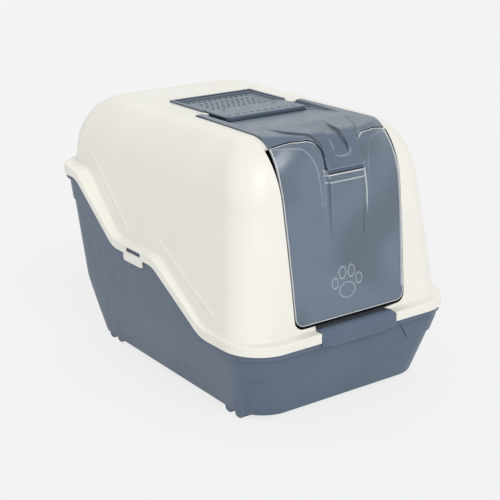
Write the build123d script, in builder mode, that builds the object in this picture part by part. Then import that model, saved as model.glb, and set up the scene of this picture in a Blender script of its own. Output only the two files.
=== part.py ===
"""Hooded litter box with a swing flap, a lifting visor, a roof vent and a front latch.

Frame: X is the width, the entrance faces -Y, Z is up, and the floor is Z = 0.
The origin is the middle of the footprint at the floor. Sizes are in millimetres.
"""

from build123d import *
from collections import namedtuple
from math import cos, pi, radians, sin, tan
import os

os.makedirs("parts", exist_ok=True)

# ------------------------------------------------------------------ overall
box_length = 540.0  # front to back over the hood's lip
box_width = 390.0  # side to side over the hood's lip
deck_height = 393.0  # flat top of the hood
lip_corner = 60.0  # plan radius of the lip's corners
seat_gap = 0.3  # room between pieces that rest on each other
running_gap = 0.05  # radial room of a pin in its bore
front_end = -box_length / 2
back_end = box_length / 2
side_end = box_width / 2

# ------------------------------------------------------------------ split line, seen from the side
front_rim = 115.0  # height of the split line at the front
side_rim = 186.5  # height of the split line at the middle of the sides
back_rim = 271.0  # height of the split line at the back
front_slope_foot = front_end + 117.5  # where the front slope starts, along Y
side_flat_front = front_end + 241.0  # where the flat stretch of the sides starts
side_flat_back = back_end - 188.0  # where the flat stretch of the sides ends
back_slope_top = back_end - 78.0  # where the back slope ends
front_foot_bend = 64.0  # radius of the bend at the front slope's foot
side_front_bend = 48.0  # radius of the bend at the flat stretch's front
side_back_bend = 47.0  # radius of the bend at the flat stretch's back
back_top_bend = 38.0  # radius of the bend at the back slope's top

# ------------------------------------------------------------------ hood
hood_wall = 2.5
hood_foot = 100.0  # height where the hood's form starts, below its lip
shoulder_drop = 82.0  # depth of the shoulder, from the roof down to the walls
shoulder_inset = 26.0  # how far the walls stand in from the lip's side at the shoulder
shoulder_front_in = 37.0  # the same at the front
shoulder_back_in = 6.0  # the same at the back
side_draft = 6.2  # lean of the walls, in degrees
front_draft = 5.7
back_draft = 1.5
side_roll = 47.0  # how far the shoulder rolls in, seen from above
front_roll = 58.0
back_roll = 72.0
hood_corner = 50.0  # plan radius of the wall's corners
roof_corner = 34.0  # plan radius of the corners at the roof
front_crown = 12.0  # how far the front bulges at the roof, over the entrance's width
sill_crown = 0.5  # the same at the sill
crown_power = 1.5  # how fast that bulge grows with height
wall_steps = 4  # levels that shape the walls
shoulder_steps = 12  # levels that shape the shoulder
lip_height = 14.0  # lip's top above the split line
lip_web = 3.0  # thickness of the lip's level part
lip_skirt = 2.6  # thickness of the lip's hanging part
lip_round = 2.5  # rounding of the lip's outer edge
lip_root = 3.0  # rounding where the wall meets the lip
shoulder_start = deck_height - shoulder_drop
shoulder_width = side_end - shoulder_inset  # half width at the shoulder's foot
shoulder_front = front_end + shoulder_front_in
shoulder_back = back_end - shoulder_back_in
roof_width = shoulder_width - shoulder_drop * tan(radians(side_draft)) - side_roll  # half width

# ------------------------------------------------------------------ entrance
entrance_edge = 2.6  # from the roof's side to the entrance
entrance_taper = 9.0  # how much narrower each side of the entrance is at the sill
entrance_corner = 15.0  # radius of the corners at the sill
entrance_depth = 83.0  # how far the entrance cuts back into the roof, from the lip
entrance_return = 9.0  # depth of the turned-in edge
return_wall = 2.2  # thickness of the turned-in edge
sill_rise = 18.5  # sill above the split line
entrance_top_width = roof_width - entrance_edge  # half width of the entrance at the roof
entrance_sill_width = entrance_top_width - entrance_taper  # half width at the sill
entrance_back = front_end + entrance_depth
sill_height = front_rim + sill_rise

# ------------------------------------------------------------------ visor
visor_thick = 2.7
visor_proud = 2.0  # visor's top above the roof
visor_corner_in = 7.0  # visor's front corners inside the entrance's edge
visor_taper = 5.5  # how much narrower each side of the visor is at its back
visor_corner_depth = 82.0  # front corners behind the lip's front
visor_gap = 0.8  # room round the visor in the roof
visor_ledge = 7.0  # how far the roof reaches under the visor's sides
visor_fullness = 28.0  # how much fuller than the hood the visor's front edge is
visor_edge_radius = 52.5  # of the visor's front edge about the flap's axis
visor_hinge_depth = 237.0  # visor's hinge behind the lip's front
visor_hinge_drop = 6.0  # visor's hinge below the roof
visor_pin = 2.5  # radius
visor_pin_gap = 1.0  # room at the pin's end
visor_ear = 3.0  # thickness of the ears that hold the visor's pins
visor_ear_radius = 4.6
visor_ear_out = 1.0  # ears outside the visor's back corners
visor_tail = 26.0  # visor's back edge behind its hinge
visor_throw = 26.4  # reach of the visor's rear corner about its hinge
arm_reach = 27.0  # opening for the visor's arms in front of the hinge
arm_inset = 2.75  # opening's edge inside the visor's front corners
hinge_boss_out = 6.8  # plates under the roof outside the visor's back corners
hinge_boss = 5.2  # thickness of those plates
hinge_boss_radius = 5.0
visor_front_width = entrance_top_width - visor_corner_in  # half width at the front corners
visor_back_width = visor_front_width - visor_taper  # half width at the back edge
visor_corner_front = front_end + visor_corner_depth
visor_hinge_y = front_end + visor_hinge_depth
visor_hinge_z = deck_height - visor_hinge_drop
visor_back = visor_hinge_y + visor_tail
hinge_boss_inner = visor_back_width + hinge_boss_out

# ------------------------------------------------------------------ tongue, the middle of the visor's front
tongue_width = 31.5  # half width
tongue_root_radius = 21.0  # of the curve between the tongue and the front edge
tongue_shoulder_drop = 3.8  # height below the roof where that curve would have its corner
tongue_flare_width = 70.0  # half width where the curve has met the front edge
plateau_start_in = 38.0  # where the raised middle starts, behind the visor's front corners
plateau_bend = (-24.0, -0.7)  # bend of its profile, from those corners along Y and the roof along Z
plateau_foot = (-43.5, -47.0)  # foot of its profile, measured the same way
plateau_radius = 28.0  # radius of that bend
plateau_rise = 0.2  # raised middle's start above the visor's top
plateau_edge_in = 23.0  # where the raised middle reaches its full width
plateau_edge_radius = 30.0
channel_width = 13.0  # half width of the finger channel
channel_depth = (1.4, -1.25)  # how far its bend lies inside the raised middle's
channel_foot = (-35.5, -28.0)  # foot of its profile
plateau_start = visor_corner_front + plateau_start_in
plateau_edge = visor_corner_front + plateau_edge_in

# ------------------------------------------------------------------ flap
flap_thick = 3.0
flap_proud = 1.0  # flap's face in front of the hood's
flap_hinge_depth = 43.5  # flap's hinge behind the lip's front
flap_hinge_drop = 49.0  # flap's hinge below the roof
flap_barrel = 5.0  # radius
flap_pin = 2.2  # radius
flap_eye = 4.5  # thickness of the eyes at the notch's corners
flap_gap = 2.0  # room between the flap and the edges round it
flap_foot_rise = 4.5  # flap's lower edge above the sill
flap_corner = 14.0
flap_neck_drop = 58.0  # where the flap's top starts to narrow, below the roof
flap_top_drop = 10.0  # where it has its least width
flap_top_in = 7.0  # how far that is inside the entrance's top
barrel_gap = 0.8  # room between the flap's barrel and the tongue
barrel_cut = (2.0, 12.0)  # how far the barrel is cut away in front of and below its axis
hinge_rib_inner = 20.0  # ribs behind the tongue, from this
hinge_rib_outer = 28.0  # to this half width
hinge_rib_radius = 2.6
hinge_rib_depth = 9.0
hinge_rib_top = 16.0  # ribs' top below the roof
band_inset = 1.0  # flap's raised band inside the tongue's width
band_drop_points = (10.0, 16.0)  # bends of the band's face below the hinge
band_proud_points = (2.2, 3.0)  # how far they lie in front of the barrel
band_fade_drop = 94.0  # where the band has faded out, below the hinge
band_fade_face = 13.3  # band's face there, in front of the hinge
band_fade_back = 11.0  # band's back there
flap_hinge_y = front_end + flap_hinge_depth
flap_hinge_z = deck_height - flap_hinge_drop
flap_foot = sill_height + flap_foot_rise

# ------------------------------------------------------------------ vent in the roof
vent_inset = 21.7  # rims' outer sides inside the visor's back corners
vent_front_in = 38.0  # where the side rims end, behind the visor's hinge
vent_length = 92.0  # along the side rims
vent_rim = 4.0  # width of the rims
vent_rim_rise = 3.3  # rims' top above the roof
vent_wall = 2.0
vent_depth = 18.0  # basket's underside below the roof
vent_bar = 3.0  # width and thickness of the basket's bars
vent_bar_count = 5  # gaps between the bars
apron_inset = 6.3  # plate under the lid's front, inside the rims
apron_front_out = 19.0  # its front edge in front of the visor's hinge
apron_drop = 4.0  # its top below the roof
apron_thick = 2.6
filter_ledge = 5.0  # edge that the filter rests on
filter_gap = 1.5
filter_thick = 10.0
filter_corner = 4.0
vent_width = visor_back_width - vent_inset  # half width over the rims
vent_front = visor_hinge_y + vent_front_in
vent_back = vent_front + vent_length

# ------------------------------------------------------------------ vent lid
lid_front_out = 21.0  # lid's front edge in front of the visor's hinge
lid_thick = 2.6
lid_rise = 1.6  # lid's top above the roof
lid_gap = 0.5  # room between the lid and the rims
lid_lip_rise = 3.0  # finger lip's top above the roof
lid_lip_depth = 6.5
lid_lip_length = 9.0
lid_lip_round = 2.0
lid_corner = 6.0
lid_hinge_in = 7.0  # lid's hinge in front of the rims' back
lid_pin = 1.5  # radius
lid_pin_reach = 1.6  # pins' reach into the rims
lid_barrel = 2.4  # radius
slot_length = 5.6
slot_width = 3.0
slot_pitch = 9.6  # between slots in a row
slot_rows = 6
row_pitch = 8.0
slot_start = 15.0  # first row behind the rims' front
slot_margin = 23.0  # least from the lid's side to a row's last slot
rear_row_in = 20.0  # row of square holes in front of the rims' back
rear_pitch = 10.0
rear_margin = 16.5
rear_hole = 4.8
front_row_in = 16.5  # row of long slots behind the lid's front edge
front_pitch = 13.0
front_margin = 13.0
front_slot = 8.5
lid_front = visor_hinge_y - lid_front_out
lid_top = deck_height + lid_rise
lid_hinge_y = vent_back - lid_hinge_in

# ------------------------------------------------------------------ latch over the tray's front rim
latch_inset = 33.5  # latch's ends inside the sill's
latch_tab_inset = 16.5  # its lower tab's ends inside the latch's
latch_hinge_in = 13.5  # hinge behind the lip's front
latch_hinge_rise = 11.6  # hinge above the split line
latch_rod = 1.8  # radius of the rod that the latch turns on
latch_knuckle = 4.2  # radius
latch_plate = 2.2
latch_pitch = 10.5  # between knuckles
latch_knuckle_width = 7.0
latch_end_margin = 4.0  # least from the latch's end to its last knuckle
latch_face_in = 0.2  # latch's face behind the lip's front
latch_drop = 6.7  # latch's lower edge below the split line
latch_tab_drop = 9.0  # its tab's lower edge
latch_bend = 11.0
latch_gap = 0.4  # room between a knuckle and the posts beside it
sill_foot_rise = 3.0  # foot of the wall under the sill, above the split line
post_foot_rise = 5.5  # foot of the rod's posts
post_depth = 16.5  # posts' reach behind the rod
latch_width = entrance_sill_width - latch_inset  # half width
latch_knuckle_count = 2 * int((latch_width - latch_end_margin) / latch_pitch) - 1
latch_hinge_y = front_end + latch_hinge_in
latch_hinge_z = front_rim + latch_hinge_rise
latch_front = front_end + latch_face_in
sill_foot = front_rim + sill_foot_rise

# ------------------------------------------------------------------ side tabs
tab_length = 52.0
tab_middle = (side_flat_front + side_flat_back) / 2 - 2.5
tab_drop = 11.5  # tab's lower edge below the split line
tab_corner = 4.0
window_length = 40.0
window_shift = 1.0  # window's middle in front of the tab's
window_foot = 3.5  # window's edges above the split line
window_top = 10.5

# ------------------------------------------------------------------ tray
tray_wall = 2.6
tray_floor = 8.5  # underside of the tray above the floor
tray_side_in = 6.5  # wall inside the lip's side, at the back rim
tray_front_in = 11.8  # wall inside the lip's front, at the front rim
tray_back_in = 24.3  # wall inside the lip's back, at the back rim
tray_side_draft = 6.4
tray_front_draft = 5.2
tray_back_draft = 2.8
tray_splay = 17.0  # how much wider each side is at the front, at one height
tray_roll_height = 90.0  # height over which the walls roll in to the underside
tray_side_roll = 4.9  # how far they roll in
tray_front_roll = 10.5
tray_back_roll = 15.5
tray_splay_roll = 7.5  # how much less they splay at the underside
tray_roll_power = 1.1
tray_corner = 42.0  # plan radius at the rim
tray_foot_corner = 54.0  # plan radius at the underside
tray_steps = 8
tray_crown = 0.1  # bulge of the tray's front wall
band_drop = 40.0  # lower edge of the band under the rim
band_step = 2.2  # band outside the wall
band_gap_width = 80.0  # half width of the band's gap under the latch
band_gap_foot = 110.0
flange_inset = 3.0  # tray's flange inside the lip's edge
flange_height = 7.0
flange_wall = 2.6
upstand_inset = 4.5  # upstand under the lip, inside the lip's edge
upstand_wall = 2.5
rim_gap = 2.0  # tray's rim clear of the latch's notch
hook_front = 18.0  # catch for the side tab, in front of the tab's middle
hook_back = 16.0
hook_height = 5.0
hook_gap = 0.8  # hook's foot above the window's
foot_length = 13.0  # along Y at the floor
foot_spread = 30.0  # the same at the feet's top
foot_width = 19.0
foot_rounding = 6.0
foot_height = 24.0  # how far the feet reach up into the tray's wall
foot_front_in = (72.0, 96.0)  # front feet behind the lip's front
foot_back_in = (105.0, 129.0)  # back feet in front of the lip's back
foot_front_side = 34.0  # front feet's outer faces inside the lip's side
foot_back_side = 43.0  # back feet's outer faces
tray_top_width = side_end - tray_side_in
tray_top_front = front_end + tray_front_in
tray_top_back = back_end - tray_back_in

Level = namedtuple("Level", "height half_width splay front back corner crown roll")


# ------------------------------------------------------------------ plain shapes
def block(x_span, y_span, z_span):
    """Upright block between two values along each axis."""
    with BuildPart() as body:
        with BuildSketch(Plane.XY.offset(z_span[0])):
            with Locations(((x_span[0] + x_span[1]) / 2, (y_span[0] + y_span[1]) / 2)):
                Rectangle(x_span[1] - x_span[0], y_span[1] - y_span[0])
        extrude(amount=z_span[1] - z_span[0])
    return body.part


def bar(radius, x_span, centre):
    """Round bar along X about the line at centre, given as Y and Z."""
    with BuildPart() as body:
        with BuildSketch(Plane.YZ.offset(x_span[0])):
            with Locations(centre):
                Circle(radius)
        extrude(amount=x_span[1] - x_span[0])
    return body.part


def side_view_block(x_span, points):
    """Block along X whose outline, seen from the side, runs through points given as Y and Z."""
    with BuildPart() as body:
        with BuildSketch(Plane.YZ.offset(x_span[0])):
            with BuildLine():
                Polyline(*points, close=True)
            make_face()
        extrude(amount=x_span[1] - x_span[0])
    return body.part


def front_view_block(half_widths, corner, y_span):
    """Block along Y, the same on both sides, through half widths given with their heights.

    The two lowest corners are rounded by corner.
    """
    with BuildPart() as body:
        with BuildSketch(Plane.XZ.offset(-y_span[1])) as outline:
            with BuildLine():
                right = [(half, height) for half, height in half_widths]
                left = [(-half, height) for half, height in reversed(half_widths)]
                Polyline(*right, *left, close=True)
            make_face()
            if corner:
                fillet(outline.vertices().group_by(Axis.Y)[0], corner)
        extrude(amount=y_span[1] - y_span[0])
    return body.part


# ------------------------------------------------------------------ shared forms
def form(levels, outline):
    """Solid through the outline at each level: flat walls where roll is 0, smooth where it isn't.

    The level where the two meet has a roll of 0 and ends or starts the smooth stretch.
    """
    flat = [level.roll == 0 for level in levels]
    walls = [outline(level) for level, is_flat in zip(levels, flat) if is_flat]
    first_bend = flat.index(False)
    last_bend = len(flat) - 1 - flat[::-1].index(False)
    bend = [outline(level) for level in levels[max(first_bend - 1, 0) : last_bend + 2]]
    with BuildPart() as body:
        for face in walls:
            add(face)
        loft(ruled=True)
        for face in bend:
            add(face)
        loft()
    return body.part


def round_outline(level):
    """Rounded outline whose front bulges by the level's crown and is wider by its splay."""
    half = level.half_width
    wide = half + level.splay
    edge = level.front + level.crown * (wide / entrance_top_width) ** 2
    with BuildSketch(Plane.XY.offset(level.height)) as outline:
        with BuildLine():
            ThreePointArc((-wide, edge), (0, level.front), (wide, edge))
            Polyline((wide, edge), (half, level.back), (-half, level.back), (-wide, edge))
        make_face()
        fillet(outline.vertices(), level.corner)
    return outline.sketch


def cover_outline(level):
    """Front of the visor and flap: the hood's at the entrance's edges, and fuller between them."""
    edge = entrance_top_width
    middle = level.front - visor_fullness * level.roll
    bulge = level.crown + visor_fullness * level.roll
    power = 2 + 3 * level.roll
    shares = (-1, -0.85, -0.6, 0, 0.6, 0.85, 1)
    front = [(edge * share, middle + bulge * abs(share) ** power) for share in shares]
    with BuildSketch(Plane.XY.offset(level.height)) as outline:
        with BuildLine():
            Spline(*front)
            Polyline(front[-1], (edge, 0), (-edge, 0), front[0])
        make_face()
    return outline.sketch


def lip_prism(inset):
    """Upright block with the lip's plan, moved in by inset."""
    with BuildPart() as body:
        with BuildSketch():
            RectangleRounded(box_width - 2 * inset, box_length - 2 * inset, lip_corner - inset)
        extrude(amount=deck_height)
    return body.part


def below_rim(rise):
    """Everything under the split line raised by rise."""
    reach = box_length
    with BuildPart() as body:
        with BuildSketch(Plane.YZ):
            with BuildLine():
                rim = FilletPolyline(
                    (-reach, front_rim + rise),
                    (front_slope_foot, front_rim + rise),
                    (side_flat_front, side_rim + rise),
                    (side_flat_back, side_rim + rise),
                    (back_slope_top, back_rim + rise),
                    (reach, back_rim + rise),
                    radius=[front_foot_bend, side_front_bend, side_back_bend, back_top_bend],
                )
                Polyline(rim @ 1, (reach, -reach), (-reach, -reach), rim @ 0)
            make_face()
        extrude(amount=box_width, both=True)
    return body.part


def rim_band(low, high):
    """The band that follows the split line, from low to high above it."""
    lower = below_rim(low)
    upper = below_rim(high)
    with BuildPart() as body:
        add(upper)
        add(lower, mode=Mode.SUBTRACT)
    return body.part


def lip_ring(outer, inner, low, high):
    """Ring between two insets of the lip's plan, over a band that follows the split line."""
    band = rim_band(low, high)
    outside = lip_prism(outer)
    inside = lip_prism(inner)
    with BuildPart() as body:
        add(outside)
        add(inside, mode=Mode.SUBTRACT)
        add(band, mode=Mode.INTERSECT)
    return body.part


def hood_crown(height):
    """Bulge of the front at a height: least at the sill, greatest at the roof."""
    rise = max(height - flap_foot, 0.0) / (deck_height - flap_foot)
    return sill_crown + front_crown * rise**crown_power


def hood_levels(inset):
    """Levels of the hood's form, moved in by inset from its outer face."""
    levels = []
    for step in range(wall_steps + 1):
        height = hood_foot + (shoulder_start - hood_foot) * step / wall_steps
        below = shoulder_start - height
        levels.append(
            Level(
                height,
                shoulder_width + below * tan(radians(side_draft)) - inset,
                0.0,
                shoulder_front - below * tan(radians(front_draft)) + inset,
                shoulder_back + below * tan(radians(back_draft)) - inset,
                hood_corner - inset,
                hood_crown(height),
                0.0,
            )
        )
    for step in range(1, shoulder_steps + 1):
        turn = pi / 2 * step / shoulder_steps
        above = (shoulder_drop - inset) * sin(turn)
        level_in = inset * cos(turn)
        roll = 1 - cos(turn)
        levels.append(
            Level(
                shoulder_start + above,
                shoulder_width - above * tan(radians(side_draft)) - side_roll * roll - level_in,
                0.0,
                shoulder_front + above * tan(radians(front_draft)) + front_roll * roll + level_in,
                shoulder_back - above * tan(radians(back_draft)) - back_roll * roll - level_in,
                hood_corner + (roof_corner - hood_corner) * roll - level_in,
                hood_crown(shoulder_start + above),
                roll,
            )
        )
    return levels


def visor_plan(growth, back, front, z_span):
    """Upright block with the visor's plan grown by growth, between two values along Y."""
    lean = visor_taper / (visor_back - visor_corner_front)
    back_half = visor_back_width + growth + lean * (visor_back - back)
    corner = max(front, visor_corner_front)
    corner_half = visor_back_width + growth + lean * (visor_back - corner)
    with BuildPart() as body:
        with BuildSketch(Plane.XY.offset(z_span[0])):
            with BuildLine():
                right = Polyline((back_half, back), (corner_half, corner), (corner_half, front - 1))
                left = mirror(right, about=Plane.YZ)
                Polyline(right @ 0, left @ 0)
                Polyline(right @ 1, left @ 1)
            make_face()
        extrude(amount=z_span[1] - z_span[0])
    return body.part


def tongue_block(growth):
    """Block along Y with the tongue's front view grown by growth, open at the top."""
    shoulder = deck_height - tongue_shoulder_drop - growth
    with BuildPart() as body:
        with BuildSketch(Plane.XZ):
            with BuildLine():
                right = FilletPolyline(
                    (tongue_width + growth, flap_hinge_z),
                    (tongue_width + growth, shoulder),
                    (tongue_flare_width, shoulder),
                    (tongue_flare_width, deck_height + box_width),
                    radius=[tongue_root_radius - growth, 1.0],
                )
                left = mirror(right, about=Plane.YZ)
                Polyline(right @ 0, left @ 0)
                Polyline(right @ 1, left @ 1)
            make_face()
        extrude(amount=back_end)
    return body.part


def profile_point(offset):
    """Point of the raised middle's profile, from its offset to the visor's corners and the roof."""
    return (visor_corner_front + offset[0], deck_height + offset[1])


# ------------------------------------------------------------------ hood
above_deck = deck_height + 20.0
hood_form = form(hood_levels(0), round_outline)
hood_hollow = form(hood_levels(hood_wall), round_outline)
hood_deep = form(hood_levels(hood_wall + entrance_return), round_outline)
visor_floor = form(hood_levels(visor_thick - visor_proud + seat_gap), round_outline)
lip_block = lip_prism(0)
lip_band = rim_band(0, lip_height)
lip_core = lip_prism(lip_skirt / 2)
lip_floor = below_rim(lip_height - lip_web)
entrance_slope = entrance_taper / (deck_height - sill_height)
front_reach = (-box_length, entrance_back)


def entrance_view(growth):
    """Half widths and heights of the entrance grown by growth, from the sill up."""
    foot = sill_height - growth
    top = deck_height + visor_proud + growth
    foot_half = entrance_sill_width + growth + entrance_slope * (foot - sill_height)
    top_half = entrance_sill_width + growth + entrance_slope * (top - sill_height)
    return [(foot_half, foot), (top_half, top)]


entrance = front_view_block(entrance_view(0), entrance_corner, front_reach)
entrance_frame = front_view_block(
    entrance_view(return_wall), entrance_corner + return_wall, front_reach
)
roof_span = (shoulder_start, above_deck)
arm_front = visor_hinge_y - arm_reach
arm_back = visor_hinge_y + visor_throw + visor_gap
arm_half = visor_front_width - arm_inset
vent_hole_half = vent_width - vent_rim / 2
visor_pocket = visor_plan(visor_gap, arm_back, -box_length, roof_span)
under_visor = visor_plan(-visor_ledge, arm_front, -box_length, roof_span)
arm_opening = block((-arm_half, arm_half), (arm_front, arm_back), roof_span)
vent_hole = block(
    (-vent_hole_half, vent_hole_half), (arm_front, vent_back - vent_rim / 2), roof_span
)
latch_notch_half = latch_width + flap_gap
latch_notch = block(
    (-latch_notch_half, latch_notch_half),
    (-box_length, latch_hinge_y + latch_knuckle),
    (0, front_rim + lip_height + lip_round),
)
sill_strip = block(
    (-latch_notch_half, latch_notch_half), (-box_length, 0), (sill_foot, sill_height + lip_height)
)
tab_span = (tab_middle - tab_length / 2, tab_middle + tab_length / 2)
window_middle = tab_middle - window_shift
tab_hang = block(
    (-side_end, -side_end + lip_skirt), tab_span, (side_rim - tab_drop, side_rim + lip_round)
)
tab_window = block(
    (-box_width, box_width),
    (window_middle - window_length / 2, window_middle + window_length / 2),
    (side_rim + window_foot, side_rim + window_top),
)
plate_top = deck_height - hood_wall / 2

with BuildPart() as lip_hollow:
    add(lip_prism(lip_skirt))
    add(lip_floor, mode=Mode.INTERSECT)

with BuildPart() as lip:
    add(lip_block)
    add(lip_band, mode=Mode.INTERSECT)
    top_faces = [face for face in lip.faces() if face.normal_at().Z > 0.3]
    top_edges = [edge for face in top_faces for edge in face.edges()]
    fillet([edge for edge in top_edges if not lip_core.is_inside(edge @ 0.5)], lip_round)
    add(lip_hollow.part, mode=Mode.SUBTRACT)

with BuildPart() as turned_edge:
    add(hood_form)
    add(hood_deep, mode=Mode.SUBTRACT)
    add(entrance_frame, mode=Mode.INTERSECT)

with BuildPart() as wall_floor:
    add(lip_floor)
    add(sill_strip, mode=Mode.SUBTRACT)

with BuildPart() as visor_sink:
    add(visor_pocket)
    add(visor_floor, mode=Mode.SUBTRACT)

with BuildPart() as side_tab:
    add(tab_hang)
    low_edges = side_tab.edges().filter_by(Axis.X).group_by(Axis.Z)[0]
    fillet(low_edges, tab_corner)
    mirror(about=Plane.YZ)

with BuildPart() as hinge_plates:
    for side in (-1, 1):
        with BuildSketch(Plane.YZ.offset(side * hinge_boss_inner)):
            with Locations((visor_hinge_y, visor_hinge_z)):
                Circle(hinge_boss_radius)
            with Locations((visor_hinge_y, (visor_hinge_z + plate_top) / 2)):
                Rectangle(2 * hinge_boss_radius, plate_top - visor_hinge_z)
            with Locations((visor_hinge_y, visor_hinge_z)):
                Circle(visor_pin + running_gap, mode=Mode.SUBTRACT)
        extrude(amount=side * hinge_boss)

post_half = (latch_pitch - latch_knuckle_width) / 2 - latch_gap
rod_half = latch_pitch * latch_knuckle_count / 2 + post_half
post_span = (latch_hinge_y - latch_rod, latch_hinge_y + post_depth)
post_heights = (front_rim + post_foot_rise, latch_hinge_z - seat_gap)

with BuildPart() as latch_comb:
    for post in range(latch_knuckle_count + 1):
        post_x = (post - latch_knuckle_count / 2) * latch_pitch
        add(block((post_x - post_half, post_x + post_half), post_span, post_heights))
    add(bar(latch_rod, (-rod_half, rod_half), (latch_hinge_y, latch_hinge_z)))

with BuildPart() as hood:
    add(hood_form)
    add(wall_floor.part, mode=Mode.SUBTRACT)
    add(lip.part)
    level_faces = hood.faces().filter_by(GeomType.PLANE) + hood.faces().filter_by(GeomType.CYLINDER)
    root_edges = [
        edge
        for face in level_faces
        if face.normal_at().Z > 0.3 and face.center().Z < shoulder_start
        for edge in face.edges().filter_by(GeomType.BSPLINE)
        if lip_core.is_inside(edge @ 0.5)
    ]
    fillet(root_edges, lip_root)
    add(hood_hollow, mode=Mode.SUBTRACT)
    add(turned_edge.part)
    add(entrance, mode=Mode.SUBTRACT)
    add(visor_sink.part, mode=Mode.SUBTRACT)
    add(under_visor, mode=Mode.SUBTRACT)
    add(arm_opening, mode=Mode.SUBTRACT)
    add(vent_hole, mode=Mode.SUBTRACT)
    add(latch_notch, mode=Mode.SUBTRACT)
    add(latch_comb.part)
    add(side_tab.part)
    add(tab_window, mode=Mode.SUBTRACT)
    add(hinge_plates.part)
hood.part.label = "hood"
export_step(hood.part, "parts/hood.step")

# ------------------------------------------------------------------ visor
visor_top = form(hood_levels(-visor_proud), cover_outline)
visor_underside = form(hood_levels(visor_thick - visor_proud), cover_outline)
visor_outline = visor_plan(0, visor_back, front_end, roof_span)
visor_axis = (visor_hinge_y, visor_hinge_z)
flap_axis = (flap_hinge_y, flap_hinge_z)
full_width = (-side_end, side_end)
tongue = tongue_block(0)
plateau_top = deck_height + visor_proud + plateau_rise
bend_point = profile_point(plateau_bend)
foot_point = profile_point(plateau_foot)
channel_bend_point = (bend_point[0] + channel_depth[0], bend_point[1] + channel_depth[1])
channel_foot_point = profile_point(channel_foot)
lid_opening_half = vent_width - vent_rim + lid_gap + visor_gap
lid_opening = block(
    (-lid_opening_half, lid_opening_half),
    (lid_front - lid_gap - visor_gap - visor_proud, back_end),
    roof_span,
)
ear_outer = visor_back_width + visor_ear_out
ear_inner = ear_outer - visor_ear
pin_end = hinge_boss_inner + hinge_boss - visor_pin_gap
eye_inner = tongue_width + flap_gap
eye_outer = eye_inner + flap_eye
rib_back = flap_hinge_y + 2 * hinge_rib_depth
rib_front = flap_hinge_y + hinge_rib_depth
rib_top = deck_height - hinge_rib_top

with BuildPart() as edge_zone:
    add(bar(visor_edge_radius, full_width, flap_axis))
    add(block(full_width, (-box_length, box_length), (0, flap_hinge_z)))
    add(tongue, mode=Mode.SUBTRACT)

with BuildPart() as plateau:
    with BuildSketch(Plane.YZ.offset(-tongue_flare_width)):
        with BuildLine():
            spine = FilletPolyline(
                (plateau_start, plateau_top), bend_point, foot_point, radius=plateau_radius
            )
            Polyline(spine @ 1, (plateau_start, foot_point[1]), spine @ 0)
        make_face()
    extrude(amount=2 * tongue_flare_width)

with BuildPart() as plateau_plan:
    with BuildSketch():
        with BuildLine():
            flank = FilletPolyline(
                (tongue_width, front_end),
                (tongue_width, plateau_edge - plateau_edge_radius),
                (visor_back_width, plateau_edge),
                (visor_back_width, plateau_start),
                radius=[plateau_edge_radius, 1.0],
            )
            other_flank = mirror(flank, about=Plane.YZ)
            Polyline(flank @ 0, other_flank @ 0)
            Polyline(flank @ 1, other_flank @ 1)
        make_face()
    extrude(amount=above_deck)

with BuildPart() as channel:
    with BuildSketch(Plane.YZ.offset(-channel_width)):
        with BuildLine():
            bed = FilletPolyline(
                (plateau_start, plateau_top),
                channel_bend_point,
                channel_foot_point,
                radius=plateau_radius,
            )
            outer = (front_end, channel_foot_point[1])
            Polyline(bed @ 1, outer, (front_end, above_deck), (plateau_start, above_deck), bed @ 0)
        make_face()
    extrude(amount=2 * channel_width)

with BuildPart() as raised_middle:
    add(plateau.part)
    add(plateau_plan.part, mode=Mode.INTERSECT)
    add(channel.part, mode=Mode.SUBTRACT)

with BuildPart() as rear_trim:
    add(block(full_width, (visor_hinge_y, back_end), roof_span))
    add(bar(visor_throw, full_width, visor_axis), mode=Mode.SUBTRACT)

with BuildPart() as visor:
    add(visor_top)
    add(visor_outline, mode=Mode.INTERSECT)
    add(raised_middle.part)
    add(visor_underside, mode=Mode.SUBTRACT)
    add(edge_zone.part, mode=Mode.SUBTRACT)
    add(lid_opening, mode=Mode.SUBTRACT)
    add(bar(flap_barrel + barrel_gap, full_width, flap_axis), mode=Mode.SUBTRACT)
    add(rear_trim.part, mode=Mode.SUBTRACT)
    for side in (-1, 1):
        with BuildSketch(Plane.YZ.offset(side * ear_inner)):
            with Locations(visor_axis):
                Circle(visor_ear_radius)
            with Locations((visor_hinge_y, (visor_hinge_z + deck_height) / 2)):
                Rectangle(2 * visor_ear_radius, deck_height - visor_hinge_z)
        extrude(amount=side * visor_ear)
        with BuildSketch(Plane.YZ.offset(side * ear_inner)):
            with Locations(visor_axis):
                Circle(visor_pin)
        extrude(amount=side * (pin_end - ear_inner))
        with BuildSketch(Plane.YZ.offset(side * hinge_rib_inner)):
            with BuildLine():
                Polyline(
                    (flap_hinge_y, flap_hinge_z - hinge_rib_radius),
                    (rib_back, flap_hinge_z - hinge_rib_radius),
                    (rib_back, rib_top),
                    (rib_front, rib_top),
                    (rib_front, flap_hinge_z + hinge_rib_radius),
                    (flap_hinge_y, flap_hinge_z + hinge_rib_radius),
                    close=True,
                )
            make_face()
            with Locations(flap_axis):
                Circle(hinge_rib_radius)
        extrude(amount=side * (hinge_rib_outer - hinge_rib_inner))
        with BuildSketch(Plane.YZ.offset(side * hinge_rib_inner)):
            with Locations(flap_axis):
                Circle(flap_pin)
        extrude(amount=side * (eye_outer - hinge_rib_inner))
visor.part.label = "visor"
export_step(visor.part, "parts/visor.step")

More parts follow.
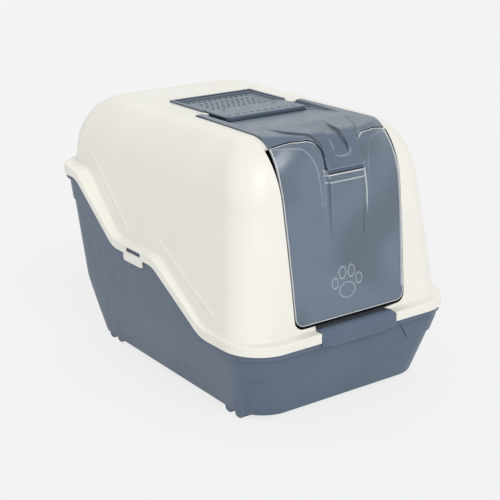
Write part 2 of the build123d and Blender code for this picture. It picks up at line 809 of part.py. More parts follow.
# ------------------------------------------------------------------ flap
flap_face = form(hood_levels(-flap_proud), cover_outline)
flap_back = form(hood_levels(flap_thick - flap_proud), cover_outline)
flap_foot_half = entrance_sill_width - flap_gap + entrance_slope * (flap_foot - sill_height)
flap_neck = deck_height - flap_neck_drop
flap_neck_half = entrance_sill_width - flap_gap + entrance_slope * (flap_neck - sill_height)
flap_top_half = entrance_top_width - flap_top_in
flap_view = [
    (flap_foot_half, flap_foot),
    (flap_neck_half, flap_neck),
    (flap_top_half, deck_height - flap_top_drop),
    (flap_top_half, deck_height),
]
flap_outline = front_view_block(flap_view, flap_corner, (front_end, 0))
flap_notch = tongue_block(flap_gap)
barrel_front = flap_hinge_y - flap_barrel
band_half = tongue_width - band_inset
band_foot = flap_hinge_z - band_fade_drop
band_face_points = [
    (barrel_front - proud, flap_hinge_z - drop)
    for proud, drop in zip(band_proud_points, band_drop_points)
]
band = side_view_block(
    (-band_half, band_half),
    [
        flap_axis,
        (barrel_front, flap_hinge_z),
        *band_face_points,
        (flap_hinge_y - band_fade_face, band_foot),
        (flap_hinge_y - band_fade_back, band_foot),
    ],
)
barrel_relief = block(
    (-eye_inner, eye_inner),
    (flap_hinge_y - barrel_cut[0], 0),
    (flap_hinge_z - barrel_cut[1], deck_height),
)

with BuildPart() as ear_limit:
    add(block(full_width, (-box_length, box_length), (flap_hinge_z, above_deck)))
    add(bar(visor_edge_radius - flap_gap, full_width, flap_axis), mode=Mode.SUBTRACT)

with BuildPart() as flap:
    add(flap_face)
    add(flap_back, mode=Mode.SUBTRACT)
    add(flap_outline, mode=Mode.INTERSECT)
    add(ear_limit.part, mode=Mode.SUBTRACT)
    add(flap_notch, mode=Mode.SUBTRACT)
    add(band)
    add(bar(flap_barrel, (-eye_outer, eye_outer), flap_axis))
    add(barrel_relief, mode=Mode.SUBTRACT)
    add(bar(flap_pin + barrel_gap, (-eye_inner, eye_inner), flap_axis), mode=Mode.SUBTRACT)
    add(bar(flap_pin + running_gap, (-eye_outer, eye_outer), flap_axis), mode=Mode.SUBTRACT)
flap.part.label = "swing_flap"
export_step(flap.part, "parts/swing_flap.step")

# ------------------------------------------------------------------ vent housing
rim_top = deck_height + vent_rim_rise
rim_foot = deck_height + seat_gap
rim_inner = vent_width - vent_rim
wall_outer = vent_hole_half - seat_gap
wall_inner = wall_outer - vent_wall
housing_foot = deck_height - vent_depth
housing_back = vent_back - vent_rim / 2 - seat_gap
basket_front = vent_front + vent_wall
basket_back = housing_back - vent_wall
apron_top = deck_height - apron_drop
apron_half = vent_width - apron_inset
lid_axis = (lid_hinge_y, lid_top - lid_barrel)
bar_pitch = (2 * wall_inner - vent_bar) / vent_bar_count
basket = block(
    (-wall_inner, wall_inner), (basket_front, basket_back), (housing_foot + vent_bar, deck_height)
)
lid_bay = block(
    (-rim_inner, rim_inner), (-box_length, vent_back - vent_rim), (apron_top, above_deck)
)
apron = block(
    (-apron_half, apron_half),
    (visor_hinge_y - apron_front_out, basket_front),
    (apron_top - apron_thick, apron_top),
)

with BuildPart() as vent_housing:
    add(block((-wall_outer, wall_outer), (vent_front, housing_back), (housing_foot, rim_foot)))
    add(basket, mode=Mode.SUBTRACT)
    add(block((-vent_width, vent_width), (vent_front, vent_back), (rim_foot, rim_top)))
    add(lid_bay, mode=Mode.SUBTRACT)
    for gap in range(vent_bar_count):
        gap_left = -wall_inner + vent_bar + gap * bar_pitch
        bar_gap = block(
            (gap_left, gap_left + bar_pitch - vent_bar),
            (basket_front + filter_ledge, basket_back - filter_ledge),
            (0, deck_height),
        )
        add(bar_gap, mode=Mode.SUBTRACT)
    add(apron)
    add(bar(lid_pin + running_gap, full_width, lid_axis), mode=Mode.SUBTRACT)
vent_housing.part.label = "vent_housing"
export_step(vent_housing.part, "parts/vent_housing.step")

# ------------------------------------------------------------------ carbon filter
filter_front = basket_front + filter_gap
filter_back = basket_back - filter_gap

with BuildPart() as carbon_filter:
    with BuildSketch(Plane.XY.offset(housing_foot + vent_bar)):
        with Locations((0, (filter_front + filter_back) / 2)):
            RectangleRounded(2 * (wall_inner - filter_gap), filter_back - filter_front, filter_corner)
    extrude(amount=filter_thick)
carbon_filter.part.label = "carbon_filter"
export_step(carbon_filter.part, "parts/carbon_filter.step")

# ------------------------------------------------------------------ vent lid
lid_half = rim_inner - lid_gap
lid_foot = lid_top - lid_thick
lid_lip_foot = deck_height + lid_lip_rise - lid_lip_depth
pin_half = rim_inner + lid_pin_reach
slot_columns = 1 + int(2 * (lid_half - slot_margin) / slot_pitch)
rear_count = 1 + int(2 * (lid_half - rear_margin) / rear_pitch)
front_count = 1 + int(2 * (lid_half - front_margin) / front_pitch)

with BuildPart() as lid_lip:
    with BuildSketch(Plane.XY.offset(lid_lip_foot)) as lip_plan:
        with Locations((0, lid_front + lid_lip_length / 2)):
            Rectangle(2 * lid_half, lid_lip_length)
        fillet(lip_plan.vertices().group_by(Axis.Y)[0], lid_corner)
    extrude(amount=lid_lip_depth)
    fillet(lid_lip.edges().group_by(Axis.Z)[-1], lid_lip_round)

with BuildPart() as vent_lid:
    add(
        block(
            (-lid_half, lid_half),
            (lid_front + lid_lip_length / 2, lid_hinge_y),
            (lid_foot, lid_top),
        )
    )
    add(lid_lip.part)
    add(bar(lid_barrel, (-lid_half, lid_half), lid_axis))
    add(bar(lid_pin, (-pin_half, pin_half), lid_axis))
    for row in range(slot_rows):
        with BuildSketch(Plane.XY.offset(lid_foot)):
            with Locations((0, vent_front + slot_start + row * row_pitch)):
                with GridLocations(slot_pitch, 1, slot_columns - row % 2, 1):
                    SlotOverall(slot_length, slot_width)
        extrude(amount=lid_thick, mode=Mode.SUBTRACT)
    with BuildSketch(Plane.XY.offset(lid_foot)):
        with Locations((0, vent_back - rear_row_in)):
            with GridLocations(rear_pitch, 1, rear_count, 1):
                Rectangle(rear_hole, rear_hole)
        with Locations((0, lid_front + front_row_in)):
            with GridLocations(front_pitch, 1, front_count, 1):
                SlotOverall(front_slot, slot_width)
    extrude(amount=lid_thick, mode=Mode.SUBTRACT)
vent_lid.part.label = "vent_lid"
export_step(vent_lid.part, "parts/vent_lid.step")

# ------------------------------------------------------------------ front latch
latch_axis = (latch_hinge_y, latch_hinge_z)
plate_middle = latch_front + latch_plate / 2
plate_height = latch_hinge_z + latch_knuckle - latch_plate / 2
latch_tab_half = latch_width - latch_tab_inset
latch_tab = block(
    (-latch_tab_half, latch_tab_half),
    (latch_front, latch_front + latch_plate),
    (front_rim - latch_tab_drop, latch_hinge_z - latch_bend),
)

with BuildPart() as front_latch:
    with BuildSketch(Plane.YZ.offset(-latch_width)):
        with BuildLine():
            FilletPolyline(
                (latch_hinge_y, plate_height),
                (plate_middle, plate_height),
                (plate_middle, front_rim - latch_drop),
                radius=latch_bend,
            )
            offset(amount=latch_plate / 2)
        make_face()
    extrude(amount=2 * latch_width)
    add(latch_tab)
    for knuckle in range(latch_knuckle_count):
        knuckle_x = (knuckle - (latch_knuckle_count - 1) / 2) * latch_pitch
        knuckle_span = (knuckle_x - latch_knuckle_width / 2, knuckle_x + latch_knuckle_width / 2)
        add(bar(latch_knuckle, knuckle_span, latch_axis))
    add(bar(latch_rod + running_gap, full_width, latch_axis), mode=Mode.SUBTRACT)
front_latch.part.label = "front_latch"
export_step(front_latch.part, "parts/front_latch.step")


# ------------------------------------------------------------------ tray
def tray_level(height, inset, roll):
    """Level of the tray's body; roll is 1 at the underside and 0 where the walls are straight."""
    below = back_rim - height
    below_front = front_rim - height
    return Level(
        height,
        tray_top_width - below * tan(radians(tray_side_draft)) - tray_side_roll * roll - inset,
        tray_splay - tray_splay_roll * roll,
        tray_top_front + below_front * tan(radians(tray_front_draft)) + tray_front_roll * roll + inset,
        tray_top_back - below * tan(radians(tray_back_draft)) - tray_back_roll * roll - inset,
        tray_corner - (tray_corner - tray_foot_corner) * roll - inset,
        tray_crown,
        roll,
    )


def tray_form(inset):
    """Tray's body moved in by inset, with walls that roll in to its underside."""
    levels = []
    for step in range(tray_steps + 1):
        share = step / tray_steps
        roll = (1 - share) ** tray_roll_power
        levels.append(tray_level(tray_floor + inset + tray_roll_height * share, inset, roll))
    levels.append(tray_level(back_rim, inset, 0))
    return form(levels, round_outline)


tray_outside = tray_form(0)
tray_inside = tray_form(tray_wall)
band_outside = tray_form(-band_step)
band_inside = tray_form(tray_wall - band_step)
below_top = below_rim(-seat_gap)
band_zone = rim_band(-band_drop, -seat_gap)
band_hollow_zone = rim_band(-band_drop + tray_wall, back_rim)
flange_block = lip_prism(flange_inset)
flange_zone = rim_band(-flange_height - seat_gap, -seat_gap)
below_shelf = below_rim(-flange_wall - seat_gap)
flange_hollow = lip_prism(flange_inset + flange_wall)
upstand = lip_ring(
    upstand_inset,
    upstand_inset + upstand_wall,
    -seat_gap - flange_wall / 2,
    lip_height - lip_web - seat_gap,
)
band_gap = front_view_block(
    [(band_gap_foot, front_rim - band_drop - rim_gap), (band_gap_width, front_rim)],
    0,
    (-box_length, tray_top_front + tray_corner / 2),
)
rim_notch_half = latch_notch_half + rim_gap
rim_notch = block((-rim_notch_half, rim_notch_half), (-box_length, 0), (sill_foot, above_deck))
hook_inner = side_end - upstand_inset - upstand_wall / 2
hook_outer = side_end - lip_skirt - seat_gap
hook_foot = side_rim + window_foot + hook_gap
foot_rows = [(side_end - foot_front_side, front_end + place) for place in foot_front_in]
foot_rows += [(side_end - foot_back_side, back_end - place) for place in foot_back_in]

with BuildPart() as tray_band:
    add(band_outside)
    add(band_zone, mode=Mode.INTERSECT)
    add(band_gap, mode=Mode.SUBTRACT)

with BuildPart() as band_hollow:
    add(band_inside)
    add(band_hollow_zone, mode=Mode.INTERSECT)
    add(band_gap, mode=Mode.SUBTRACT)

with BuildPart() as flange:
    add(flange_block)
    add(flange_zone, mode=Mode.INTERSECT)

with BuildPart() as flange_under:
    add(flange_hollow)
    add(below_shelf, mode=Mode.INTERSECT)

with BuildPart() as hooks:
    for side in (-1, 1):
        x_span = sorted((side * hook_inner, side * hook_outer))
        y_span = (tab_middle - hook_front, tab_middle + hook_back)
        add(block(x_span, y_span, (hook_foot, hook_foot + hook_height)))

with BuildPart() as feet:
    for outer_x, foot_y in foot_rows:
        for side in (-1, 1):
            with BuildSketch(Plane.YZ.offset(side * (outer_x - foot_width))) as foot_view:
                with BuildLine():
                    Polyline(
                        (foot_y - foot_spread / 2, foot_height),
                        (foot_y - foot_length / 2, 0),
                        (foot_y + foot_length / 2, 0),
                        (foot_y + foot_spread / 2, foot_height),
                        close=True,
                    )
                make_face()
                fillet(foot_view.vertices().group_by(Axis.Y)[0], foot_rounding)
            extrude(amount=side * foot_width)

with BuildPart() as base_tray:
    add(flange.part)
    add(flange_under.part, mode=Mode.SUBTRACT)
    add(tray_outside & below_top)
    add(tray_band.part)
    add(feet.part)
    add(upstand)
    add(tray_inside, mode=Mode.SUBTRACT)
    add(band_hollow.part, mode=Mode.SUBTRACT)
    add(rim_notch, mode=Mode.SUBTRACT)
    add(hooks.part)
base_tray.part.label = "base_tray"
export_step(base_tray.part, "parts/base_tray.step")
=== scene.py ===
"""Hooded litter box: the surfaces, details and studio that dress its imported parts.

Every length is in metres unless its name says millimetres or degrees.
"""

import logging
import math
from collections.abc import Callable
from dataclasses import dataclass
from enum import Enum, IntEnum

import bmesh
import bpy
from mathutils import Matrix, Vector


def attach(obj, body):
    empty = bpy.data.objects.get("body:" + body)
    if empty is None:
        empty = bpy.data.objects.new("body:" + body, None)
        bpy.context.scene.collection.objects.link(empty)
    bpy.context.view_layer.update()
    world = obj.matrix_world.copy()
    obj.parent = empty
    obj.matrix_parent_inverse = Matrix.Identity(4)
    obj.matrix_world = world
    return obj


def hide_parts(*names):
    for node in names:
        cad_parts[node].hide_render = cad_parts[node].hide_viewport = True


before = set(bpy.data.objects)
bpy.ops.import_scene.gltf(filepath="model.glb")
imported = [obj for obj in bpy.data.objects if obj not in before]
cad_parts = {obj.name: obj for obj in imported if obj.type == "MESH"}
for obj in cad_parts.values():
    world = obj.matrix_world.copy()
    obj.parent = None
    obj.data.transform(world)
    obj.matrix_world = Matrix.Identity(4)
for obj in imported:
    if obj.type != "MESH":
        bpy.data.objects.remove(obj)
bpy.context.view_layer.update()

MM = 0.001
SEAM_WELD = 1e-6
CUT_WELD = 2e-5
CUT_REACH = 1e-5
EITHER_WAY = -2.0
PATTERN_HEIGHT = 0.2
NOISE_RUN = (0.3, 0.7)
POLISH = 0.05
UPWARD = Vector((0.0, 0.0, 1.0))
FORWARD_AND_UP = Vector((0.0, -1.0, 0.3))
TONGUE_WAY = Vector((0.0, -0.6, 0.8))
FLAP_WAY = Vector((0.0, -1.0, 0.2)).normalized()
LOG = logging.getLogger("litter_box")

Spot = tuple[float, float, float]
Corners = tuple[Spot, Spot]
Run = tuple[float, float]
Tree = bpy.types.NodeTree
Socket = bpy.types.NodeSocket
Mesh = bmesh.types.BMesh
Face = bmesh.types.BMFace


class Axis(Enum):
    """The three directions of the box: across it, from its front to its back, and up."""

    ACROSS = 0
    BACK = 1
    UP = 2


SIDE_VIEW = (Axis.BACK, Axis.UP)
TOP_VIEW = (Axis.ACROSS, Axis.BACK)
FRONT_VIEW = (Axis.ACROSS, Axis.UP)


class Coat(IntEnum):
    """Which of a part's finishes a face wears, in the order that the part is given them."""

    MAIN = 0
    SECOND = 1
    THIRD = 2
    FOURTH = 3


def linear(colour: str) -> tuple[float, float, float, float]:
    """Turns six sRGB hex digits after a hash sign to linear light, with an alpha of 1."""
    shares = [int(colour[i : i + 2], 16) / 255 for i in (1, 3, 5)]
    light = [s / 12.92 if s <= 0.04045 else ((s + 0.055) / 1.055) ** 2.4 for s in shares]
    return (*light, 1.0)


def smooth_step(value: float) -> float:
    """Eases a value from 0 to 1, and holds it there outside that span."""
    held = min(1.0, max(0.0, value))
    return held * held * (3 - 2 * held)


def add_node(
    tree: Tree,
    kind: str,
    values: dict[str | int, object] | None = None,
    links: dict[str | int, Socket] | None = None,
    **settings: object,
) -> bpy.types.Node:
    """Adds a node of a kind to a tree, with its own settings.

    Args:
        values: what its inputs hold, by the input's name or number.
        links: the output sockets that feed its inputs, by the same.
    """
    node = tree.nodes.new(kind)
    for name, setting in settings.items():
        setattr(node, name, setting)
    for socket, value in (values or {}).items():
        node.inputs[socket].default_value = value
    for socket, source in (links or {}).items():
        tree.links.new(source, node.inputs[socket])
    return node


def empty_material(name: str) -> bpy.types.Material:
    """Makes a material of that name with no nodes in it."""
    material = bpy.data.materials.new(name)
    material.use_nodes = True
    material.node_tree.nodes.clear()
    return material


def add_object(name: str, data: bpy.types.ID) -> bpy.types.Object:
    """Makes an object of that name and data, and puts it in the scene."""
    thing = bpy.data.objects.new(name, data)
    bpy.context.scene.collection.objects.link(thing)
    return thing


def placed_pattern(tree: Tree) -> Socket:
    """Gives a place on the object in metres, centred on the box's middle height."""
    place = add_node(tree, "ShaderNodeTexCoord").outputs["Object"]
    centre = {"Location": (0.0, 0.0, -PATTERN_HEIGHT)}
    return add_node(tree, "ShaderNodeMapping", centre, {"Vector": place}).outputs["Vector"]


def noise(tree: Tree, place: Socket, size_mm: float, detail: float) -> Socket:
    """Adds a cloudy pattern around 0.5: how wide its patches are, and its finer layers."""
    values = {"Scale": 1 / (size_mm * MM), "Detail": detail, "Roughness": 0.55}
    return add_node(tree, "ShaderNodeTexNoise", values, {"Vector": place}).outputs["Fac"]


def spread(tree: Tree, value: Socket, source: Run, target: Run = (0.0, 1.0)) -> Socket:
    """Stretches a value from one run of numbers to another, and holds it at the ends."""
    ends = {"From Min": source[0], "From Max": source[1], "To Min": target[0], "To Max": target[1]}
    return add_node(tree, "ShaderNodeMapRange", ends, {"Value": value}).outputs["Result"]


def combined(tree: Tree, first: Socket, second: Socket, operation: str) -> Socket:
    """Works out one number from two."""
    links = {0: first, 1: second}
    return add_node(tree, "ShaderNodeMath", links=links, operation=operation).outputs["Value"]


def blend(tree: Tree, share: Socket, colour: Socket | str, other: str) -> Socket:
    """Mixes a share of another hex colour into a colour, which is a socket or hex too."""
    values, links = {"B": linear(other)}, {"Factor": share}
    if isinstance(colour, str):
        values["A"] = linear(colour)
    else:
        links["A"] = colour
    mixed = add_node(tree, "ShaderNodeMix", values, links, data_type="RGBA")
    return mixed.outputs["Result"]


def bumped(tree: Tree, height: Socket, strength: float, deep_mm: float) -> Socket:
    """Turns a height from 0 to 1 to the normal of a relief that deep."""
    values = {"Strength": strength, "Distance": deep_mm * MM}
    return add_node(tree, "ShaderNodeBump", values, {"Height": height}).outputs["Normal"]


@dataclass(frozen=True)
class Finish:
    """What a part is made of, as the eye reads it."""

    name: str
    colour: str

    def shader(self, tree: Tree, place: Socket) -> bpy.types.Node:
        """Builds the nodes of the surface, whose patterns are read at that place."""
        raise NotImplementedError

    def make(self) -> bpy.types.Material:
        """Builds the whole material."""
        material = empty_material(self.name)
        tree = material.node_tree
        shader = self.shader(tree, placed_pattern(tree))
        add_node(tree, "ShaderNodeOutputMaterial", links={"Surface": shader.outputs["BSDF"]})
        return material


@dataclass(frozen=True)
class MouldedPolypropylene(Finish):
    """Injection-moulded polypropylene with a satin face.

    The eye reads it by a soft, wide highlight, a very fine spark-eroded grain and faint clouds
    where the melt flowed. Its edges are painted paler, partly as wear where it is handled and
    partly as a painted highlight, and its nooks are darkened with painted shade. A part may
    paint more shade and highlight on its mesh, in the layers "shade" and "gleam".
    """

    flow_colour: str
    wear_and_highlight_colour: str
    roughness: float = 0.42
    flow_mm: float = 90.0
    grain_mm: float = 1.1  # real grain is about 0.2 mm, drawn coarser so that it shows
    grain_depth_mm: float = 0.018
    scuff_mm: float = 14.0
    scuff_dull: float = 0.07
    grain_strength: float = 0.5
    flow_run: Run = (0.35, 0.65)
    wear_and_highlight_radius_mm: float = 1.4
    wear_and_highlight_run: Run = (0.998, 0.9)
    wear_and_highlight_share: float = 0.6
    corner_mm: float = 4.0
    painted_shade_colour: str = "#2E3640"
    painted_shade_run: Run = (0.75, 0.25)
    painted_shade_share: float = 0.5

    def shader(self, tree: Tree, place: Socket) -> bpy.types.Node:
        """Builds the plastic's nodes."""
        flow = spread(tree, noise(tree, place, self.flow_mm, detail=3.0), self.flow_run)
        grain = noise(tree, place, self.grain_mm, detail=2.0)
        scuff = noise(tree, place, self.scuff_mm, detail=6.0)
        face = add_node(tree, "ShaderNodeNewGeometry").outputs["Normal"]
        # paler edges from the bevel normal: partly handling wear, partly a painted highlight
        corner = {"Radius": self.wear_and_highlight_radius_mm * MM}
        rounded = add_node(tree, "ShaderNodeBevel", corner, samples=4).outputs["Normal"]
        both = {0: rounded, 1: face}
        turned = add_node(tree, "ShaderNodeVectorMath", links=both, operation="DOT_PRODUCT")
        wear_and_highlight = spread(tree, turned.outputs["Value"], self.wear_and_highlight_run, (0.0, self.wear_and_highlight_share))
        nook = {"Distance": self.corner_mm * MM}
        air = add_node(tree, "ShaderNodeAmbientOcclusion", nook, samples=6).outputs["AO"]
        wear_and_highlight = combined(tree, wear_and_highlight, air, "MULTIPLY")
        # painted shade: ambient occlusion darkens the colour in nooks, creases and gaps
        painted_nook_shade = spread(tree, air, self.painted_shade_run, (0.0, self.painted_shade_share))
        colour = blend(tree, flow, self.colour, self.flow_colour)
        colour = blend(tree, wear_and_highlight, colour, self.wear_and_highlight_colour)
        colour = blend(tree, painted_nook_shade, colour, self.painted_shade_colour)
        # the part's mesh layers add painted shade, and a painted highlight in the edges' paler
        # colour
        for layer, drawn_colour in (("shade", self.painted_shade_colour), ("gleam", self.wear_and_highlight_colour)):
            drawn = add_node(tree, "ShaderNodeAttribute", attribute_name=layer)
            colour = blend(tree, drawn.outputs["Fac"], colour, drawn_colour)
        dull = (self.roughness - POLISH, self.roughness + self.scuff_dull)
        links = {
            "Base Color": colour,
            "Roughness": spread(tree, scuff, NOISE_RUN, dull),
            "Normal": bumped(tree, grain, self.grain_strength, self.grain_depth_mm),
        }
        values = {"IOR": 1.49, "Subsurface Weight": 0.0}
        return add_node(tree, "ShaderNodeBsdfPrincipled", values, links)


@dataclass(frozen=True)
class SmokedStyrene(Finish):
    """Clear tinted SAN, moulded in a polished tool.

    The eye reads it as a smoky grey-blue window, a little clearer in some places than in
    others, with fine dust, and polished faces whose reflections swirl slightly. A part may
    paint highlight lines on its mesh, in the layer "line_light": there it is pale and hardly
    clear.
    """

    dust_colour: str
    highlight_line_colour: str
    roughness: float = 0.16
    window: float = 0.7
    swirl_mm: float = 60.0
    dust_mm: float = 3.0
    swirl_dull: float = 0.08
    swirl_strength: float = 0.25
    swirl_depth_mm: float = 0.05
    dust_run: Run = (0.45, 0.8)
    dust_share: float = 0.35
    cloud_mm: float = 130.0
    cloud_run: Run = (0.42, 0.58)
    cloud_share: float = 0.05
    line_window: float = 0.1

    def shader(self, tree: Tree, place: Socket) -> bpy.types.Node:
        """Builds the smoky plastic's nodes."""
        swirl = noise(tree, place, self.swirl_mm, detail=1.5)
        dust = noise(tree, place, self.dust_mm, detail=5.0)
        dust = spread(tree, dust, self.dust_run, (0.0, self.dust_share))
        cloud = noise(tree, place, self.cloud_mm, detail=1.0)
        line = add_node(tree, "ShaderNodeAttribute", attribute_name="line_light").outputs["Fac"]
        colour = blend(tree, dust, self.colour, self.dust_colour)
        least, most = self.window - self.cloud_share, self.window + self.cloud_share
        window = {"Factor": line, "A": spread(tree, cloud, self.cloud_run, (least, most))}
        clear = add_node(tree, "ShaderNodeMix", {"B": self.line_window}, window)
        dull = (self.roughness - POLISH, self.roughness + self.swirl_dull)
        links = {
            "Transmission Weight": clear.outputs["Result"],
            "Base Color": blend(tree, line, colour, self.highlight_line_colour),
            "Roughness": spread(tree, swirl, NOISE_RUN, dull),
            "Normal": bumped(tree, swirl, self.swirl_strength, self.swirl_depth_mm),
        }
        return add_node(tree, "ShaderNodeBsdfPrincipled", {"IOR": 1.56}, links)


@dataclass(frozen=True)
class CarbonFelt(Finish):
    """Needled polyester felt loaded with active carbon.

    The eye reads it as a matt charcoal mat of short crossing fibres, with paler fibre ends
    and darker pits between them.
    """

    fibre_colour: str
    fibre_mm: float = 2.2
    pit_mm: float = 6.0
    fibre_run: Run = (0.15, 0.4)
    tuft_mm: float = 1.2
    tuft_strength: float = 0.9

    def shader(self, tree: Tree, place: Socket) -> bpy.types.Node:
        """Builds the felt's nodes."""
        fibre = noise(tree, place, self.fibre_mm, detail=8.0)
        pit = noise(tree, place, self.pit_mm, detail=4.0)
        height = combined(tree, fibre, pit, "MULTIPLY")
        share = spread(tree, height, self.fibre_run)
        links = {
            "Base Color": blend(tree, share, self.colour, self.fibre_colour),
            "Normal": bumped(tree, height, self.tuft_strength, self.tuft_mm),
        }
        values = {"Roughness": 0.95, "Sheen Weight": 0.25, "Sheen Roughness": 0.5}
        return add_node(tree, "ShaderNodeBsdfPrincipled", values, links)


@dataclass
class Patch:
    """A stretch of one face of a part, cut finely enough to be raised or sunk.

    Args:
        low: lowest corner of the stretch.
        high: its highest corner.
        facing: direction that the face looks in.
        steps: spacing of the cuts along each axis that is cut.
        turn: least cosine between the face and that direction.
    """

    low: Vector
    high: Vector
    facing: Vector
    steps: dict[Axis, float]
    turn: float = 0.35

    def holds(self, place: Vector) -> bool:
        """Says whether a place is inside the stretch."""
        return all(self.low[i] <= place[i] <= self.high[i] for i in range(3))

    def touches(self, face: Face) -> bool:
        """Says whether a face looks the right way and reaches into the stretch."""
        if face.normal.dot(self.facing) < self.turn:
            return False
        corners = [v.co for v in face.verts]
        return all(
            min(c[i] for c in corners) <= self.high[i]
            and max(c[i] for c in corners) >= self.low[i]
            for i in range(3)
        )

    def slice(
        self, work: Mesh, faces: list[Face], axis: Axis, places: list[float]
    ) -> list[Face]:
        """Cuts faces at several places in order along an axis, the middle place first.

        Returns:
            The faces that the cuts leave.
        """
        if not places or not faces:
            return faces
        i = axis.value
        half = len(places) // 2
        across = Vector([1.0 if i == k else 0.0 for k in range(3)])
        edges = {e for f in faces for e in f.edges}
        corners = {v for f in faces for v in f.verts}
        left = bmesh.ops.bisect_plane(
            work,
            geom=[*faces, *edges, *corners],
            dist=CUT_REACH,
            plane_co=across * places[half],
            plane_no=across,
        )["geom"]
        below, above = [], []
        for face in left:
            if isinstance(face, Face):
                low = face.calc_center_median()[i] < places[half]
                (below if low else above).append(face)
        first = self.slice(work, below, axis, places[:half])
        return first + self.slice(work, above, axis, places[half + 1 :])

    def cut(self, work: Mesh) -> None:
        """Cuts the stretch of a part's merged mesh into a grid of triangles."""
        work.normal_update()
        faces = [f for f in work.faces if self.touches(f)]
        for axis, step in self.steps.items():
            low, high = self.low[axis.value], self.high[axis.value]
            places = [low + k * step for k in range(int((high - low) / step) + 1)]
            faces = self.slice(work, faces, axis, places)
        many_sided = [f for f in work.faces if len(f.verts) > 3]
        bmesh.ops.triangulate(work, faces=many_sided)
        bmesh.ops.remove_doubles(work, verts=work.verts, dist=CUT_WELD)

    def press(self, work: Mesh, height: Callable[[Vector], float]) -> None:
        """Moves the stretch along its own normals, by what the height says for a place."""
        work.normal_update()
        moves = [
            (v, v.normal * height(v.co))
            for v in work.verts
            if self.holds(v.co) and v.normal.dot(self.facing) >= self.turn
        ]
        for vertex, move in moves:
            vertex.co += move

    def lower(self, work: Mesh, depth: Callable[[Vector], float]) -> None:
        """Moves the stretch's whole thickness down, by what the depth says for a place."""
        for vertex in work.verts:
            if self.holds(vertex.co):
                vertex.co.z -= depth(vertex.co)


def span(corners: Corners, side: float = -1.0) -> tuple[Vector, Vector]:
    """Turns a stretch's corners to metres, mirrored where the side is the right one."""
    low, high = Vector(corners[0]) * MM, Vector(corners[1]) * MM
    if side > 0:
        low.x, high.x = -high.x, -low.x
    return low, high


def grid(step_mm: float, *axes: Axis) -> dict[Axis, float]:
    """Gives each of those axes the same spacing of cuts, in metres."""
    return {axis: step_mm * MM for axis in axes}


def ramp(value: float, start: float, end: float) -> float:
    """Says how far a value is from a start to an end, between 0 and 1."""
    return min(1.0, max(0.0, (value - start) / (end - start)))


def out_and_back(place: Vector) -> tuple[float, float]:
    """Says how far a place is from the middle plane, and how far back, in millimetres."""
    return abs(place.x) / MM, place.y / MM


def to_right(place: Vector) -> Vector:
    """Mirrors a place on the left side to the right side."""
    return Vector((abs(place.x), place.y, place.z))


@dataclass(frozen=True)
class Trace:
    """A drawn line of straight runs, in millimetres, read in two of the three axes."""

    points: tuple[tuple[float, float], ...]
    axes: tuple[Axis, Axis]

    def nearest(self, place: Vector) -> tuple[float, float, float]:
        """Finds how a place lies to the line.

        Args:
            place: a place in metres.

        Returns:
            Its distance in millimetres, signed plus to the left of the line's direction,
            its share along the line from 0 to 1, and the distance past the line's ends.
        """
        u = place[self.axes[0].value] / MM
        v = place[self.axes[1].value] / MM
        runs = list(zip(self.points[:-1], self.points[1:]))
        whole = sum(math.dist(a, b) for a, b in runs)
        best = (math.inf, 0.0, 0.0)
        before = 0.0
        for (ax, ay), (bx, by) in runs:
            run = math.dist((ax, ay), (bx, by))
            along = ((u - ax) * (bx - ax) + (v - ay) * (by - ay)) / run
            held = min(run, max(0.0, along))
            x = ax + (bx - ax) * held / run
            y = ay + (by - ay) * held / run
            gap = math.dist((u, v), (x, y))
            if gap < abs(best[0]):
                side = (bx - ax) * (v - ay) - (by - ay) * (u - ax)
                best = (math.copysign(gap, side), (before + held) / whole, abs(along - held))
            before += run
        return best


@dataclass(frozen=True)
class Shadow:
    """A drawn shade along one side of a line, which swells between its ends.

    Args:
        line: the line that it lies beside.
        side: 1 where it lies to the left of the line's direction, -1 to the right.
        strength: how dark it is, from 0 to 1.
        thin_mm: its width at its ends.
        swell_mm: how much wider its middle is.
        swell_run: shares of the line between which it swells.
        grow_run: shares of the line between which it comes in.
    """

    line: Trace
    side: float
    strength: float
    thin_mm: float
    swell_mm: float
    swell_run: Run = (0.0, 1.0)
    grow_run: Run = (-1.0, 0.0)
    edge_mm: float = 0.8
    end_mm: float = 1.5

    def dark(self, place: Vector) -> float:
        """Says how dark it is at a place, from 0 to 1."""
        gap, share, past = self.line.nearest(place)
        swell = math.sin(math.pi * ramp(share, *self.swell_run))
        half = 0.5 * (self.thin_mm + self.swell_mm * swell)
        shown = 1 - smooth_step((abs(self.side * gap - half) - half) / self.edge_mm)
        shown *= ramp(share, *self.grow_run) * (1 - smooth_step(past / self.end_mm))
        return shown * self.strength


@dataclass(frozen=True)
class Stroke:
    """A drawn line on both sides of a part, with a strength from 0 to 1 on each.

    It loses the share "fade" of that over its second half, and is "wide" line widths wide.
    """

    line: Trace
    left: float
    right: float
    fade: float
    wide: float


